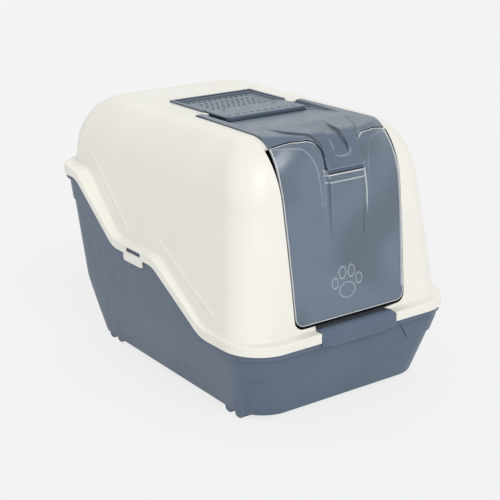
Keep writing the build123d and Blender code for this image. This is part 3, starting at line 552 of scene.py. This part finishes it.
@dataclass
class Shell:
    """A moulded part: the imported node's own shape, merged, detailed and dressed."""

    node: str
    body: str
    slot: str
    finish: Finish
    crisp_degrees: float = 40.0
    sliver_mm2: float = 0.03
    other_finishes: tuple[Finish, ...] = ()
    area_weight: int = 60

    def detail(self, work: Mesh) -> None:
        """Adds what only this part has. A plain part adds nothing."""

    def build(self) -> bpy.types.Object:
        """Makes the part's shown piece, shades it smooth and puts it on its body."""
        work = bmesh.new()
        work.from_mesh(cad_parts[self.node].data)
        for face in work.faces:
            face.material_index = Coat.MAIN
        bmesh.ops.remove_doubles(work, verts=work.verts, dist=SEAM_WELD)
        self.detail(work)
        work.normal_update()
        for face in work.faces:
            face.smooth = True
        crisp = math.radians(self.crisp_degrees)
        for edge in work.edges:
            sliver = any(f.calc_area() < self.sliver_mm2 * MM * MM for f in edge.link_faces)
            edge.smooth = sliver or edge.calc_face_angle(math.pi) < crisp
        mesh = bpy.data.meshes.new(self.node + "_skin")
        work.to_mesh(mesh)
        work.free()
        if "custom_normal" in mesh.attributes:
            mesh.attributes.remove(mesh.attributes["custom_normal"])
        piece = add_object(self.node + "_skin", mesh)
        mesh.materials.append(self.finish.make())
        for finish in self.other_finishes:
            mesh.materials.append(finish.make())
        even = piece.modifiers.new("even_shading", "WEIGHTED_NORMAL")
        even.keep_sharp = True
        even.weight = self.area_weight
        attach(piece, self.body)
        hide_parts(self.node)
        LOG.info("%s: %d faces", piece.name, len(mesh.polygons))
        return piece


@dataclass
class Hood(Shell):
    """The ivory cover: soft ribs above its lip, a shallow step beside the vent, and an
    entrance whose turned-in edge is painted dark, as painted shade."""

    rib_half_mm: float = 6.0
    rib_rise_mm: float = 1.3
    rib_grid_mm: float = 3.0
    rib_boxes: tuple[Corners, ...] = (
        ((-200.0, 56.0, 208.0), (-120.0, 188.0, 318.0)),
        ((-200.0, -182.0, 142.0), (-120.0, -8.0, 236.0)),
    )
    back_rib: Trace = Trace(((178.0, 307.0), (66.0, 220.0)), SIDE_VIEW)
    front_rib: Trace = Trace(((-17.0, 224.0), (-172.0, 152.0)), SIDE_VIEW)
    step_depth_mm: float = 1.0
    step_grid_mm: float = 2.0
    step_box: Corners = ((-128.0, -34.0, 370.0), (-84.0, 120.0, 400.0))
    step_out_mm: float = 88.0
    step_slant: float = 1.25
    step_inner_mm: Run = (87.0, 89.0)
    step_outer_mm: Run = (100.0, 124.0)
    step_front_mm: Run = (19.0, 22.0)
    step_back_mm: Run = (111.0, 114.0)
    mouth_half_mm: float = 112.0
    mouth_foot_mm: float = 131.0
    mouth_run_mm: Run = (-264.0, -184.0)
    mouth_middle_mm: float = 265.0
    least_inward: float = 0.45
    least_back: float = -0.6
    sill_box: Corners = ((-66.0, -262.0, 127.6), (66.0, -244.0, 134.6))
    sill_wide_mm: float = 132.0
    sill_high_mm: float = 7.0

    def rib(self, place: Vector) -> float:
        """Says how far the ribs stand out at a place, in metres."""
        rise = 0.0
        for line in (self.back_rib, self.front_rib):
            gap, _, _ = line.nearest(place)
            rise = max(rise, 1 - smooth_step(abs(gap) / self.rib_half_mm))
        return rise * self.rib_rise_mm * MM

    def step(self, place: Vector) -> float:
        """Says how far the step beside the vent lies down at a place, in metres."""
        out, back = out_and_back(place)
        slant = (out - self.step_out_mm) * self.step_slant
        inside = ramp(out, *self.step_inner_mm) * (1 - ramp(out, *self.step_outer_mm))
        ends = ramp(back + slant, *self.step_front_mm)
        ends *= 1 - ramp(back + slant / 2, *self.step_back_mm)
        return inside * ends * self.step_depth_mm * MM

    def shade_entrance(self, work: Mesh) -> None:
        """Gives the turned-in edge round the entrance, and the sill above the latch, the dark
        finish of painted shade.
        """
        work.normal_update()
        first, last = self.mouth_run_mm
        # painted shade: faces turned into the entrance take the near-black finish
        for face in work.faces:
            middle = face.calc_center_median() / MM
            if abs(middle.x) > self.mouth_half_mm or middle.z < self.mouth_foot_mm:
                continue
            inward = Vector((-middle.x, 0.0, self.mouth_middle_mm - middle.z)).normalized()
            turned_in = face.normal.dot(inward) > self.least_inward
            if first < middle.y < last and turned_in and face.normal.y > self.least_back:
                face.material_index = Coat.SECOND
        # painted shade on the sill strip above the latch
        steps = grid(self.sill_wide_mm, Axis.ACROSS) | grid(self.sill_high_mm, Axis.UP)
        sill = Patch(*span(self.sill_box), FORWARD_AND_UP, steps)
        sill.cut(work)
        for face in work.faces:
            if sill.holds(face.calc_center_median()):
                face.material_index = Coat.SECOND

    def detail(self, work: Mesh) -> None:
        """Raises the ribs on both sides, sinks the steps in the roof and shades the entrance."""
        self.shade_entrance(work)
        rib_steps = grid(self.rib_grid_mm, *SIDE_VIEW)
        roof_steps = grid(self.step_grid_mm, *TOP_VIEW)
        for side in (-1.0, 1.0):
            for box in self.rib_boxes:
                wall = Patch(*span(box, side), Vector((side, 0.0, 0.0)), rib_steps)
                wall.cut(work)
                wall.press(work, self.rib)
            roof = Patch(*span(self.step_box, side), UPWARD, roof_steps)
            roof.cut(work)
            roof.press(work, lambda place: -self.step(place))


@dataclass
class Visor(Shell):
    """The lifting cover over the entrance: a trough before the vent, side rails, a raised
    middle that runs into the tongue, and a finger channel down the tongue."""

    whole_box: Corners = ((-105.0, -232.0, 335.0), (105.0, -4.0, 400.0))
    whole_grid_mm: float = 2.0
    fine_grid_mm: float = 1.0
    fine_boxes: tuple[Corners, ...] = (
        ((-81.0, -232.0, 335.0), (-29.0, -124.0, 400.0)),
        ((-21.0, -232.0, 335.0), (35.0, -138.0, 400.0)),
    )
    nose_box: Corners = ((-60.0, -232.0, 345.0), (60.0, -195.0, 396.0))
    crease_box: Corners = ((-105.0, -232.0, 335.0), (105.0, -100.0, 400.0))
    drawn_turn: float = 0.2
    crease_turn: float = 0.25
    rail_out_mm: float = 89.0
    rail_taper_mm: float = 3.2
    rail_run_mm: Run = (-40.0, -126.0)
    rail_shade: float = 0.6
    rail_shade_in_mm: float = 1.2
    rail_shade_half_mm: float = 0.6
    rail_shade_edge_mm: float = 1.0
    rail_shade_run_mm: Run = (-128.0, -100.0)
    rail_shade_back_mm: float = -12.0
    trough_mm: float = 5.2
    trough_front_mm: float = -141.0
    trough_bow: float = 0.16
    trough_back_mm: float = -54.0
    trough_wall_mm: float = 2.4
    undercut_mm: float = 2.5
    undercut_front_mm: Run = (-60.0, -56.5)
    undercut_side_mm: Run = (72.0, 74.0)
    crease_mm: float = 2.3
    crease_bank_mm: float = 1.8
    crease_rise_mm: float = 20.0
    crease_end_mm: float = 8.0
    crease_grow: float = 0.5
    crease: Shadow = Shadow(
        Trace(
            ((75.0, -130.0), (66.0, -152.0), (58.5, -170.0), (50.0, -184.0), (43.0, -195.0),
             (37.5, -205.0), (33.5, -214.0), (31.0, -223.0)),
            TOP_VIEW,
        ),
        side=1.0,
        strength=0.6,
        thin_mm=0.9,
        swell_mm=3.4,
        swell_run=(0.25, 1.0),
        grow_run=(0.0, 0.15),
    )
    tongue_from_mm: float = 360.0
    channel_mm: float = 4.5
    channel_half_mm: float = 13.0
    channel_flare_mm: float = 15.0
    channel_flare_run_mm: Run = (-205.0, -142.0)
    channel_flare_power: float = 1.6
    channel_bank_in_mm: float = 2.0
    channel_bank_mm: float = 2.6
    channel_run_mm: Run = (-190.0, -141.0)
    channel_foot_mm: Run = (360.5, 374.0)
    channel_foot_power: float = 0.6
    channel_lean_degrees: float = 66.0
    channel_lean_run_mm: Run = (-190.0, -225.0)
    channel_wall: Shadow = Shadow(
        Trace(
            ((30.0, -144.0), (24.0, -165.0), (17.4, -183.0), (13.0, -197.0), (11.0, -208.0),
             (13.2, -219.0)),
            TOP_VIEW,
        ),
        side=-1.0,
        strength=0.65,
        thin_mm=0.6,
        swell_mm=3.6,
    )
    channel_foot: Trace = Trace(
        ((-15.0, 386.0), (-14.5, 375.0), (-11.0, 366.5), (-4.0, 363.5), (8.0, 363.5),
         (14.0, 366.0), (16.0, 371.0)),
        FRONT_VIEW,
    )
    gleam_strength: float = 0.8
    gleam_half_mm: float = 0.4
    gleam_edge_mm: float = 0.8
    gleam_end_mm: float = 1.0

    def rail(self, back: float) -> float:
        """Says how far out the rail's inner face is at a place along the box, both in mm."""
        return self.rail_out_mm - self.rail_taper_mm * ramp(back, *self.rail_run_mm)

    def trough(self, place: Vector) -> float:
        """Says how far the trough lies down at a place, in metres."""
        out, back = out_and_back(place)
        front = self.trough_front_mm + self.trough_bow * out
        along = ramp(back, front, self.trough_back_mm)
        up_wall = (out - self.rail(back) + self.trough_wall_mm) / self.trough_wall_mm
        across = 1 - smooth_step(up_wall)
        under = ramp(back, *self.undercut_front_mm) * (1 - ramp(out, *self.undercut_side_mm))
        return across * (along * self.trough_mm + under * self.undercut_mm) * MM

    def groove(self, place: Vector) -> float:
        """Says how far the creases lie in at a place, in metres and below zero."""
        gap, share, past = self.crease.line.nearest(to_right(place))
        deep = 0.0
        if gap > 0:
            bank = self.crease_bank_mm
            deep = smooth_step(share / self.crease_grow) * smooth_step(gap / bank)
            deep *= 1 - smooth_step((gap - bank) / self.crease_rise_mm)
            deep *= 1 - smooth_step(past / self.crease_end_mm)
        return -deep * self.crease_mm * MM

    def channel(self, place: Vector) -> Vector:
        """Says where the finger channel moves a place, both faces of the wall alike."""
        out, back = out_and_back(place)
        flare = ramp(back, *self.channel_flare_run_mm) ** self.channel_flare_power
        half = self.channel_half_mm + self.channel_flare_mm * flare
        wall = 1 - smooth_step((out - half + self.channel_bank_in_mm) / self.channel_bank_mm)
        ends = 1 - ramp(back, *self.channel_run_mm)
        foot = ramp(place.z / MM, *self.channel_foot_mm) ** self.channel_foot_power
        lean = math.radians(self.channel_lean_degrees) * ramp(back, *self.channel_lean_run_mm)
        inward = Vector((0.0, math.sin(lean), -math.cos(lean)))
        return inward * wall * ends * foot * self.channel_mm * MM

    def shade(self, place: Vector) -> float:
        """Says how dark the drawn shade of creases and rails is at a place, from 0 to 1."""
        out, back = out_and_back(place)
        inner = 0.0
        if back < self.rail_shade_back_mm:
            gap = abs(out - self.rail(back) + self.rail_shade_in_mm) - self.rail_shade_half_mm
            inner = 1 - smooth_step(gap / self.rail_shade_edge_mm)
            inner *= ramp(back, *self.rail_shade_run_mm) * self.rail_shade
        return max(self.crease.dark(to_right(place)), self.channel_wall.dark(place), inner)

    def gleam(self, place: Vector) -> float:
        """Says how bright the painted highlight round the channel's foot is at a place."""
        gap, _, past = self.channel_foot.nearest(place)
        shown = 1 - smooth_step((abs(gap) - self.gleam_half_mm) / self.gleam_edge_mm)
        return shown * (1 - smooth_step(past / self.gleam_end_mm)) * self.gleam_strength

    def detail(self, work: Mesh) -> None:
        """Draws the shade and the gleam, and sinks the creases, channel and trough."""
        steps = grid(self.whole_grid_mm, *TOP_VIEW)
        both = Patch(*span(self.whole_box), UPWARD, steps, EITHER_WAY)
        both.cut(work)
        fine = grid(self.fine_grid_mm, *TOP_VIEW)
        for box in self.fine_boxes:
            Patch(*span(box), TONGUE_WAY, fine, self.drawn_turn).cut(work)
        nose_steps = grid(self.fine_grid_mm, Axis.UP)
        nose_way = FORWARD_AND_UP.normalized()
        Patch(*span(self.nose_box), nose_way, nose_steps, self.drawn_turn).cut(work)
        layers = {name: work.verts.layers.float.new(name) for name in ("shade", "gleam")}
        work.normal_update()
        for vertex in work.verts:
            if vertex.normal.dot(TONGUE_WAY) > self.drawn_turn:
                vertex[layers["shade"]] = self.shade(vertex.co)
                vertex[layers["gleam"]] = self.gleam(vertex.co)
        outer = Patch(*span(self.crease_box), TONGUE_WAY, {}, self.crease_turn)
        outer.press(work, self.groove)
        for vertex in work.verts:
            if vertex.co.z > self.tongue_from_mm * MM:
                vertex.co += self.channel(vertex.co)
        both.lower(work, self.trough)


@dataclass
class VentLid(Shell):
    """The vent's lid: its grille lies in a tray between raised edges."""

    whole_box: Corners = ((-74.0, -20.0, 380.0), (74.0, 92.0, 400.0))
    whole_grid_mm: float = 4.0
    fine_grid_mm: float = 1.0
    wall_boxes: tuple[Corners, ...] = (
        ((-74.0, 0.0, 392.5), (-60.0, 92.0, 400.0)),
        ((60.0, 0.0, 392.5), (74.0, 92.0, 400.0)),
        ((-60.0, 78.0, 392.5), (60.0, 92.0, 400.0)),
    )
    thumb_box: Corners = ((-60.0, -12.0, 392.5), (60.0, 2.0, 400.0))
    upward_turn: float = 0.3
    tray_mm: float = 3.0
    tray_half_mm: float = 66.0
    tray_wall_mm: float = 4.0
    tray_front_mm: Run = (4.0, 9.0)
    tray_back_mm: Run = (83.0, 87.0)
    tray_shade: float = 0.75
    tray_shade_gain: float = 1.6
    tray_shade_run_mm: Run = (12.0, 24.0)
    thumb_mm: float = 1.3
    thumb_out_mm: float = 46.0
    thumb_back_mm: float = -5.0
    thumb_half_mm: tuple[float, float] = (8.0, 3.0)
    thumb_shade: float = 0.6
    slots_half_mm: float = 69.0
    slots_run_mm: Run = (-50.0, 85.0)
    slot_wall_turn: float = 0.5
    lip_back_mm: float = -46.0
    lip_top_mm: float = 393.0
    lip_shade: float = 0.5

    def tray(self, place: Vector) -> float:
        """Says how far the grille lies down at a place, in metres."""
        out, back = out_and_back(place)
        across = 1 - smooth_step((out - self.tray_half_mm) / self.tray_wall_mm)
        along = ramp(back, *self.tray_front_mm) * (1 - ramp(back, *self.tray_back_mm))
        return across * along * self.tray_mm * MM

    def thumb(self, place: Vector) -> float:
        """Says how far the two thumb ridges stand up at a place, in metres."""
        out, back = out_and_back(place)
        half_out, half_back = self.thumb_half_mm
        reach = math.hypot(
            (out - self.thumb_out_mm) / half_out, (back - self.thumb_back_mm) / half_back
        )
        return (1 - smooth_step(reach)) * self.thumb_mm * MM

    def shade(self, place: Vector) -> float:
        """Says how dark the painted shade on the tray's walls and the thumb ridges is at a place,
        from 0 to 1.
        """
        sunk = self.tray(place) / (self.tray_mm * MM)
        half_way = 4 * sunk * (1 - sunk)  # 1 half way down a wall, 0 at its top and foot
        edge = half_way * ramp(place.y / MM, *self.tray_shade_run_mm)
        ridge = self.thumb(place) / (self.thumb_mm * MM)
        walls = self.tray_shade * min(1.0, edge * self.tray_shade_gain)
        return max(walls, self.thumb_shade * ridge)

    def detail(self, work: Mesh) -> None:
        """Paints shade on the slots' walls, the tray's walls, the thumb ridges and the lip's
        front, sinks the grille and raises the thumb ridges.
        """
        work.normal_update()
        first, last = self.slots_run_mm
        for face in work.faces:
            middle = face.calc_center_median() / MM
            inside = abs(middle.x) < self.slots_half_mm and first < middle.y < last
            # painted shade: the slot walls take the near-black finish
            if inside and abs(face.normal.z) < self.slot_wall_turn:
                face.material_index = Coat.SECOND
        steps = grid(self.whole_grid_mm, *TOP_VIEW)
        both = Patch(*span(self.whole_box), UPWARD, steps, EITHER_WAY)
        both.cut(work)
        fine = grid(self.fine_grid_mm, *TOP_VIEW)
        tops = [Patch(*span(box), UPWARD, fine) for box in (*self.wall_boxes, self.thumb_box)]
        for top in tops:
            top.cut(work)
        layer = work.verts.layers.float.new("shade")
        work.normal_update()
        for vertex in work.verts:
            if vertex.normal.z > self.upward_turn:
                vertex[layer] = self.shade(vertex.co)
            # painted shade on the lip's front face
            elif vertex.co.y < self.lip_back_mm * MM and vertex.co.z < self.lip_top_mm * MM:
                vertex[layer] = self.lip_shade
        both.lower(work, self.tray)
        tops[-1].press(work, self.thumb)


@dataclass
class Flap(Shell):
    """The smoky swing flap: edges painted pale as a highlight, a stiffening line round the notch,
    a raised band below the hinge, a plain paw in low relief, painted highlight lines and a painted
    shadow line under the tongue."""

    edge_turn: float = 0.45
    drawn_turn: float = 0.3
    rim_mm: float = 1.0
    band_half_mm: float = 40.0
    band_run_mm: Run = (262.0, 337.0)
    band_rim_from_mm: float = 245.0
    round_box: Corners = ((-39.0, -260.0, 338.0), (39.1, -180.0, 348.1))
    round_wide_mm: float = 78.0
    round_high_mm: float = 10.0
    round_half_mm: float = 39.0
    round_run_mm: Run = (338.0, 348.0)
    rod_half_mm: float = 31.7
    rod_from_mm: float = 342.0
    rod_gap_to_mm: float = 344.4
    line_mm: float = 0.9
    line_rise_mm: float = 0.35
    flush_above_mm: float = 334.0  # the flap turns close under the tongue from here up
    plain_grid_mm: float = 1.2
    fine_grid_mm: float = 0.8
    plain_boxes: tuple[Corners, ...] = (
        ((-104.0, -260.0, 374.0), (-50.0, -180.0, 384.0)),
        ((50.0, -260.0, 374.0), (104.0, -180.0, 384.0)),
        ((-63.0, -260.0, 298.0), (-41.5, -180.0, 374.0)),
        ((41.5, -260.0, 298.0), (63.0, -180.0, 374.0)),
    )
    fine_boxes: tuple[Corners, ...] = (
        ((-40.5, -260.0, 326.0), (40.5, -180.0, 352.0)),
        ((34.5, -260.0, 264.0), (40.5, -180.0, 326.0)),
        ((-40.5, -260.0, 264.0), (-34.5, -180.0, 326.0)),
    )
    flange_box: Corners = ((92.5, -260.0, 152.0), (108.0, -180.0, 373.0))
    notch_line: Trace = Trace(
        ((101.5, 380.0), (78.7, 380.5), (66.0, 379.5), (60.0, 377.0), (54.0, 371.0),
         (50.0, 363.8), (47.0, 353.0), (45.7, 347.5), (44.5, 323.0), (43.0, 300.0)),
        FRONT_VIEW,
    )
    band_side: Trace = Trace(((36.5, 341.0), (37.5, 315.0), (37.0, 268.0)), FRONT_VIEW)
    band_top: Trace = Trace(((0.0, 341.2), (36.0, 341.2)), FRONT_VIEW)
    band_fold: Trace = Trace(((0.0, 331.0), (36.0, 331.0)), FRONT_VIEW)
    strokes: tuple[Stroke, ...] = (
        Stroke(notch_line, left=0.3, right=0.15, fade=0.3, wide=1.0),
        Stroke(band_side, left=0.15, right=0.9, fade=1.0, wide=1.1),
        Stroke(band_top, left=0.95, right=0.95, fade=0.0, wide=0.9),
        Stroke(band_fold, left=0.75, right=0.75, fade=0.0, wide=0.7),
    )
    far_flange: Trace = Trace(
        ((97.0, 381.0), (101.0, 359.0), (101.5, 340.0), (101.0, 283.0), (99.0, 240.0),
         (95.0, 160.0)),
        FRONT_VIEW,
    )
    far_flange_strength: float = 0.5
    far_flange_end_mm: float = 4.0
    paw_box: Corners = ((-36.0, -260.0, 156.0), (24.0, -180.0, 212.0))
    paw_middle_mm: tuple[float, float] = (-6.0, 184.0)
    paw_mm: float = 23.0
    paw_strength: float = 0.4
    paw_line_half_mm: float = 0.5
    paw_line_edge_mm: float = 0.6
    paw_pad: tuple[float, float, float, float] = (0.0, -0.42, 0.62, 0.48)
    paw_toes: tuple[tuple[float, float, float, float], ...] = (
        (-0.95, 0.15, 0.24, 0.34),
        (-0.36, 0.72, 0.26, 0.37),
    )

    def drawn(self, place: Vector) -> float:
        """Says how strongly a painted highlight line shows at a place, between 0 and 1."""
        shown = 0.0
        for stroke in self.strokes:
            gap, share, _ = stroke.line.nearest(to_right(place))
            half = 0.5 * stroke.wide * self.line_mm
            thin = 1 - smooth_step((abs(gap) - half) / self.line_mm)
            strength = stroke.right if place.x > 0 else stroke.left
            shown = max(shown, thin * strength * (1 - stroke.fade * smooth_step(share * 2 - 1)))
        gap, _, past = self.far_flange.nearest(place)
        flange = smooth_step(gap / self.line_mm) * self.far_flange_strength
        return max(shown, flange * (1 - smooth_step(past / self.far_flange_end_mm)))

    def paw(self, place: Vector) -> float:
        """Says how strongly the painted highlight on the paw's raised outline shows at a place,
        between 0 and 1.
        """
        across = (place.x / MM - self.paw_middle_mm[0]) / self.paw_mm
        up = (place.z / MM - self.paw_middle_mm[1]) / self.paw_mm
        toes = [(side * x, y, w, h) for x, y, w, h in self.paw_toes for side in (-1.0, 1.0)]
        shown = 0.0
        for x, y, w, h in (self.paw_pad, *toes):
            reach = math.hypot((across - x) / w, (up - y) / h)
            gap = abs(reach - 1) * min(w, h) * self.paw_mm - self.paw_line_half_mm
            shown = max(shown, 1 - smooth_step(gap / self.paw_line_edge_mm))
        return shown * self.paw_strength

    def by_hinge(self, place: Vector) -> bool:
        """Tells whether a place lies on the round part that turns close under the tongue."""
        foot, top = self.round_run_mm
        return abs(place.x) < self.round_half_mm * MM and foot * MM < place.z < top * MM

    def mark_edges(self, work: Mesh) -> None:
        """Gives the flap's edges and a narrow rim round its faces the pale finish, a painted
        highlight.
        """
        work.normal_update()
        foot, top = self.band_run_mm
        for face in work.faces:
            middle = face.calc_center_median() / MM
            under_tongue = abs(middle.x) < self.band_half_mm and foot < middle.z < top
            if abs(face.normal.dot(FLAP_WAY)) < self.edge_turn and not under_tongue:
                face.material_index = Coat.SECOND
        steps = grid(self.round_wide_mm, Axis.ACROSS) | grid(self.round_high_mm, Axis.UP)
        Patch(*span(self.round_box), FLAP_WAY, steps, EITHER_WAY).cut(work)
        work.normal_update()
        fronts = [
            f
            for f in work.faces
            if f.normal.dot(FLAP_WAY) >= self.edge_turn
            and not self.by_hinge(f.calc_center_median())
        ]
        ring = bmesh.ops.inset_region(
            work, faces=fronts, thickness=self.rim_mm * MM, use_boundary=True
        )
        for face in ring["faces"]:
            middle = face.calc_center_median() / MM
            by_band = abs(middle.x) < self.band_half_mm and middle.z > self.band_rim_from_mm
            face.material_index = Coat.MAIN if by_band else Coat.SECOND
        bmesh.ops.triangulate(work, faces=[f for f in work.faces if len(f.verts) > 3])

    def detail(self, work: Mesh) -> None:
        """Marks the edges' painted highlight, paints the highlight lines and the paw, colours the
        hinge and paints a shadow line under the tongue.
        """
        self.mark_edges(work)
        plain = grid(self.plain_grid_mm, *FRONT_VIEW)
        fine = grid(self.fine_grid_mm, *FRONT_VIEW)
        boxes = [(box, plain) for box in self.plain_boxes]
        boxes += [(box, fine) for box in self.fine_boxes]
        boxes += [(self.flange_box, plain), (self.paw_box, fine)]
        *lined, badge = [Patch(*span(box), FLAP_WAY, steps) for box, steps in boxes]
        for patch in [*lined, badge]:
            patch.cut(work)
        # painted highlight lines: pale, hardly clear strokes along the flap's lines, rims and paw
        layer = work.verts.layers.float.new("line_light")
        work.normal_update()
        for vertex in work.verts:
            if vertex.normal.dot(FLAP_WAY) > self.drawn_turn:
                if badge.holds(vertex.co):
                    vertex[layer] = self.paw(vertex.co)
                elif any(patch.holds(vertex.co) for patch in lined):
                    vertex[layer] = self.drawn(vertex.co)
        for vertex in work.verts:
            if vertex.co.z < self.flush_above_mm * MM:
                vertex.co += vertex.normal * vertex[layer] * self.line_rise_mm * MM
        for face in work.faces:
            middle = face.calc_center_median() / MM
            by_rod = abs(middle.x) < self.rod_half_mm and middle.z > self.rod_from_mm
            if by_rod and face.normal.dot(FLAP_WAY) > self.drawn_turn:
                # painted shadow: the hinge's lowest strip, under the tongue, takes the near-black
                # finish
                in_gap = middle.z < self.rod_gap_to_mm
                face.material_index = Coat.FOURTH if in_gap else Coat.THIRD


@dataclass(frozen=True)
class Lamp:
    """A soft far lamp: how high it stands, where it shines from and how wide it looks."""

    name: str
    strength: float
    height_degrees: float
    heading_degrees: float
    softness_degrees: float


@dataclass
class Studio:
    """A plain pale floor and backdrop, a soft panel before the box, and far soft lamps."""

    floor_half: float = 14.0
    floor_colour: str = "#F4F4F4"
    floor_glow: float = 0.86
    world_strength: float = 0.64
    panel_watts: float = 0.6
    panel_size: float = 0.9
    panel_place: Spot = (-0.8, -1.3, 0.75)
    panel_aim: Spot = (-0.1, -0.2, 0.2)
    lamps: tuple[Lamp, ...] = (
        Lamp("key_lamp", 1.1, 40.0, -8.0, 30.0),
        Lamp("side_lamp", 0.2, 30.0, -95.0, 40.0),
        Lamp("back_lamp", 0.25, 50.0, 150.0, 50.0),
    )

    def seen_share(self, tree: Tree) -> Socket:
        """Gives 1 for rays from the camera, a reflection or a clear part, and 0 for others."""
        path = add_node(tree, "ShaderNodeLightPath")
        seen = path.outputs["Is Camera Ray"]
        for kind in ("Is Transmission Ray", "Is Glossy Ray"):
            seen = combined(tree, seen, path.outputs[kind], "MAXIMUM")
        return seen

    def lay_floor(self) -> None:
        """Lays the floor, pale to the camera and able to hold a shadow."""
        work = bmesh.new()
        bmesh.ops.create_grid(work, x_segments=4, y_segments=4, size=self.floor_half)
        mesh = bpy.data.meshes.new("floor")
        work.to_mesh(mesh)
        work.free()
        floor = add_object("floor", mesh)
        material = empty_material("matt studio board")
        tree = material.node_tree
        pale = {"Color": linear(self.floor_colour)}
        matt = add_node(tree, "ShaderNodeBsdfDiffuse", {**pale, "Roughness": 0.0})
        glow = add_node(tree, "ShaderNodeEmission", {**pale, "Strength": 1.0})
        seen = {0: self.seen_share(tree)}
        share = add_node(
            tree, "ShaderNodeMath", {1: self.floor_glow}, seen, operation="MULTIPLY"
        )
        both = {0: share.outputs["Value"], 1: matt.outputs["BSDF"], 2: glow.outputs["Emission"]}
        mixed = add_node(tree, "ShaderNodeMixShader", links=both).outputs["Shader"]
        add_node(tree, "ShaderNodeOutputMaterial", links={"Surface": mixed})
        mesh.materials.append(material)

    def hang_lamps(self) -> None:
        """Hangs the far lamps, and a soft panel that faces the front of the box."""
        for lamp in self.lamps:
            light = bpy.data.lights.new(lamp.name, "SUN")
            light.energy = lamp.strength
            light.angle = math.radians(lamp.softness_degrees)
            holder = add_object(lamp.name, light)
            tilt = math.radians(90 - lamp.height_degrees)
            holder.rotation_euler = (tilt, 0.0, math.radians(lamp.heading_degrees))
        panel = bpy.data.lights.new("front_panel", "AREA")
        panel.energy = self.panel_watts
        panel.size = self.panel_size
        holder = add_object("front_panel", panel)
        holder.location = self.panel_place
        way = Vector(self.panel_aim) - holder.location
        holder.rotation_euler = way.to_track_quat("-Z", "Y").to_euler()

    def light_world(self) -> None:
        """Surrounds the object with an even pale light and a pale backdrop."""
        world = bpy.data.worlds.new("studio_air")
        world.use_nodes = True
        tree = world.node_tree
        tree.nodes.clear()
        even = {"Color": (1.0, 1.0, 1.0, 1.0), "Strength": self.world_strength}
        air = add_node(tree, "ShaderNodeBackground", even).outputs["Background"]
        pale = {"Color": linear(self.floor_colour), "Strength": 1.0}
        backdrop = add_node(tree, "ShaderNodeBackground", pale).outputs["Background"]
        both = {0: self.seen_share(tree), 1: air, 2: backdrop}
        mixed = add_node(tree, "ShaderNodeMixShader", links=both).outputs["Shader"]
        add_node(tree, "ShaderNodeOutputWorld", links={"Surface": mixed})
        bpy.context.scene.world = world

    def build(self) -> None:
        """Sets up the whole studio."""
        self.lay_floor()
        self.hang_lamps()
        self.light_world()
        bpy.context.scene.view_settings.view_transform = "Standard"


@dataclass
class Viewpoint:
    """Where the camera stands and how it looks at the box."""

    place: Spot = (-1.1135, -1.5153, 0.7986)
    down_degrees: float = 18.63
    heading_degrees: float = -36.44
    lens_mm: float = 91.1
    sensor_mm: float = 36.0

    def build(self) -> None:
        """Stands the camera in its place and makes it the scene's."""
        data = bpy.data.cameras.new("front_left_camera")
        data.lens = self.lens_mm
        data.sensor_width = self.sensor_mm
        data.clip_end = 100.0
        camera = add_object("front_left_camera", data)
        camera.location = self.place
        tilt = math.radians(90 - self.down_degrees)
        camera.rotation_euler = (tilt, 0.0, math.radians(self.heading_degrees))
        bpy.context.scene.camera = camera


TRAY_PLASTIC = MouldedPolypropylene(
    "moulded polypropylene, blue-grey", "#536275", "#58677A", "#8492A4"
)
HOOD_PLASTIC = MouldedPolypropylene(
    "moulded polypropylene, ivory", "#EFEDE5", "#ECEAE1", "#F6F5F0",
    roughness=0.38, painted_shade_colour="#8F8C84", painted_shade_share=0.35,
)
VISOR_PLASTIC = MouldedPolypropylene(
    "moulded polypropylene, blue-grey, polished", "#586678", "#5E6C7C", "#95A2B2",
    roughness=0.3, corner_mm=6.0, painted_shade_share=0.75,
)
FLAP_PLASTIC = SmokedStyrene("tinted SAN, smoky", "#9CB0C6", "#A9B8C8", "#F0F1EE")
# painted highlight: the pale edge finish stands in for the light that the clear flap's edges
# gather
FLAP_EDGE = SmokedStyrene(
    "tinted SAN, light-gathering edge", "#E4E7E8", "#D6DADD", "#F0F1EE", roughness=0.2, window=0.15
)
HINGE_ROD = MouldedPolypropylene(
    "moulded polypropylene, blue-grey, behind the clear hinge", "#46566C", "#4B5B71", "#7A889B"
)
# painted shade: a near-black finish put on faces where shadow falls, not the parts' own colour
INNER_SHADE = MouldedPolypropylene(
    "painted shade, dark inner edge", "#1B1F25", "#20252B", "#2A2F36", roughness=0.6
)
FILTER_FELT = CarbonFelt("needled carbon felt", "#2B2C2E", "#4A4B4D")


def main() -> None:
    """Builds the studio, the viewpoint and every part of the litter box, in order."""
    logging.basicConfig(level=logging.INFO, format="%(message)s")
    Studio().build()
    Viewpoint().build()
    parts = [
        Shell("base_tray", "base", "tray_plastic", TRAY_PLASTIC),
        Hood("hood", "hood", "hood_plastic", HOOD_PLASTIC, other_finishes=(INNER_SHADE,)),
        Shell("vent_housing", "hood", "visor_plastic", VISOR_PLASTIC),
        Shell("carbon_filter", "hood", "filter_felt", FILTER_FELT),
        VentLid(
            "vent_lid", "vent_lid", "visor_plastic", VISOR_PLASTIC, other_finishes=(INNER_SHADE,)
        ),
        Visor("visor", "visor", "visor_plastic", VISOR_PLASTIC),
        Flap(
            "swing_flap",
            "flap",
            "flap_plastic",
            FLAP_PLASTIC,
            other_finishes=(FLAP_EDGE, HINGE_ROD, INNER_SHADE),
        ),
        Shell("front_latch", "latch", "tray_plastic", TRAY_PLASTIC),
    ]
    for part in parts:
        part.build()


if __name__ == "__main__":
    main()
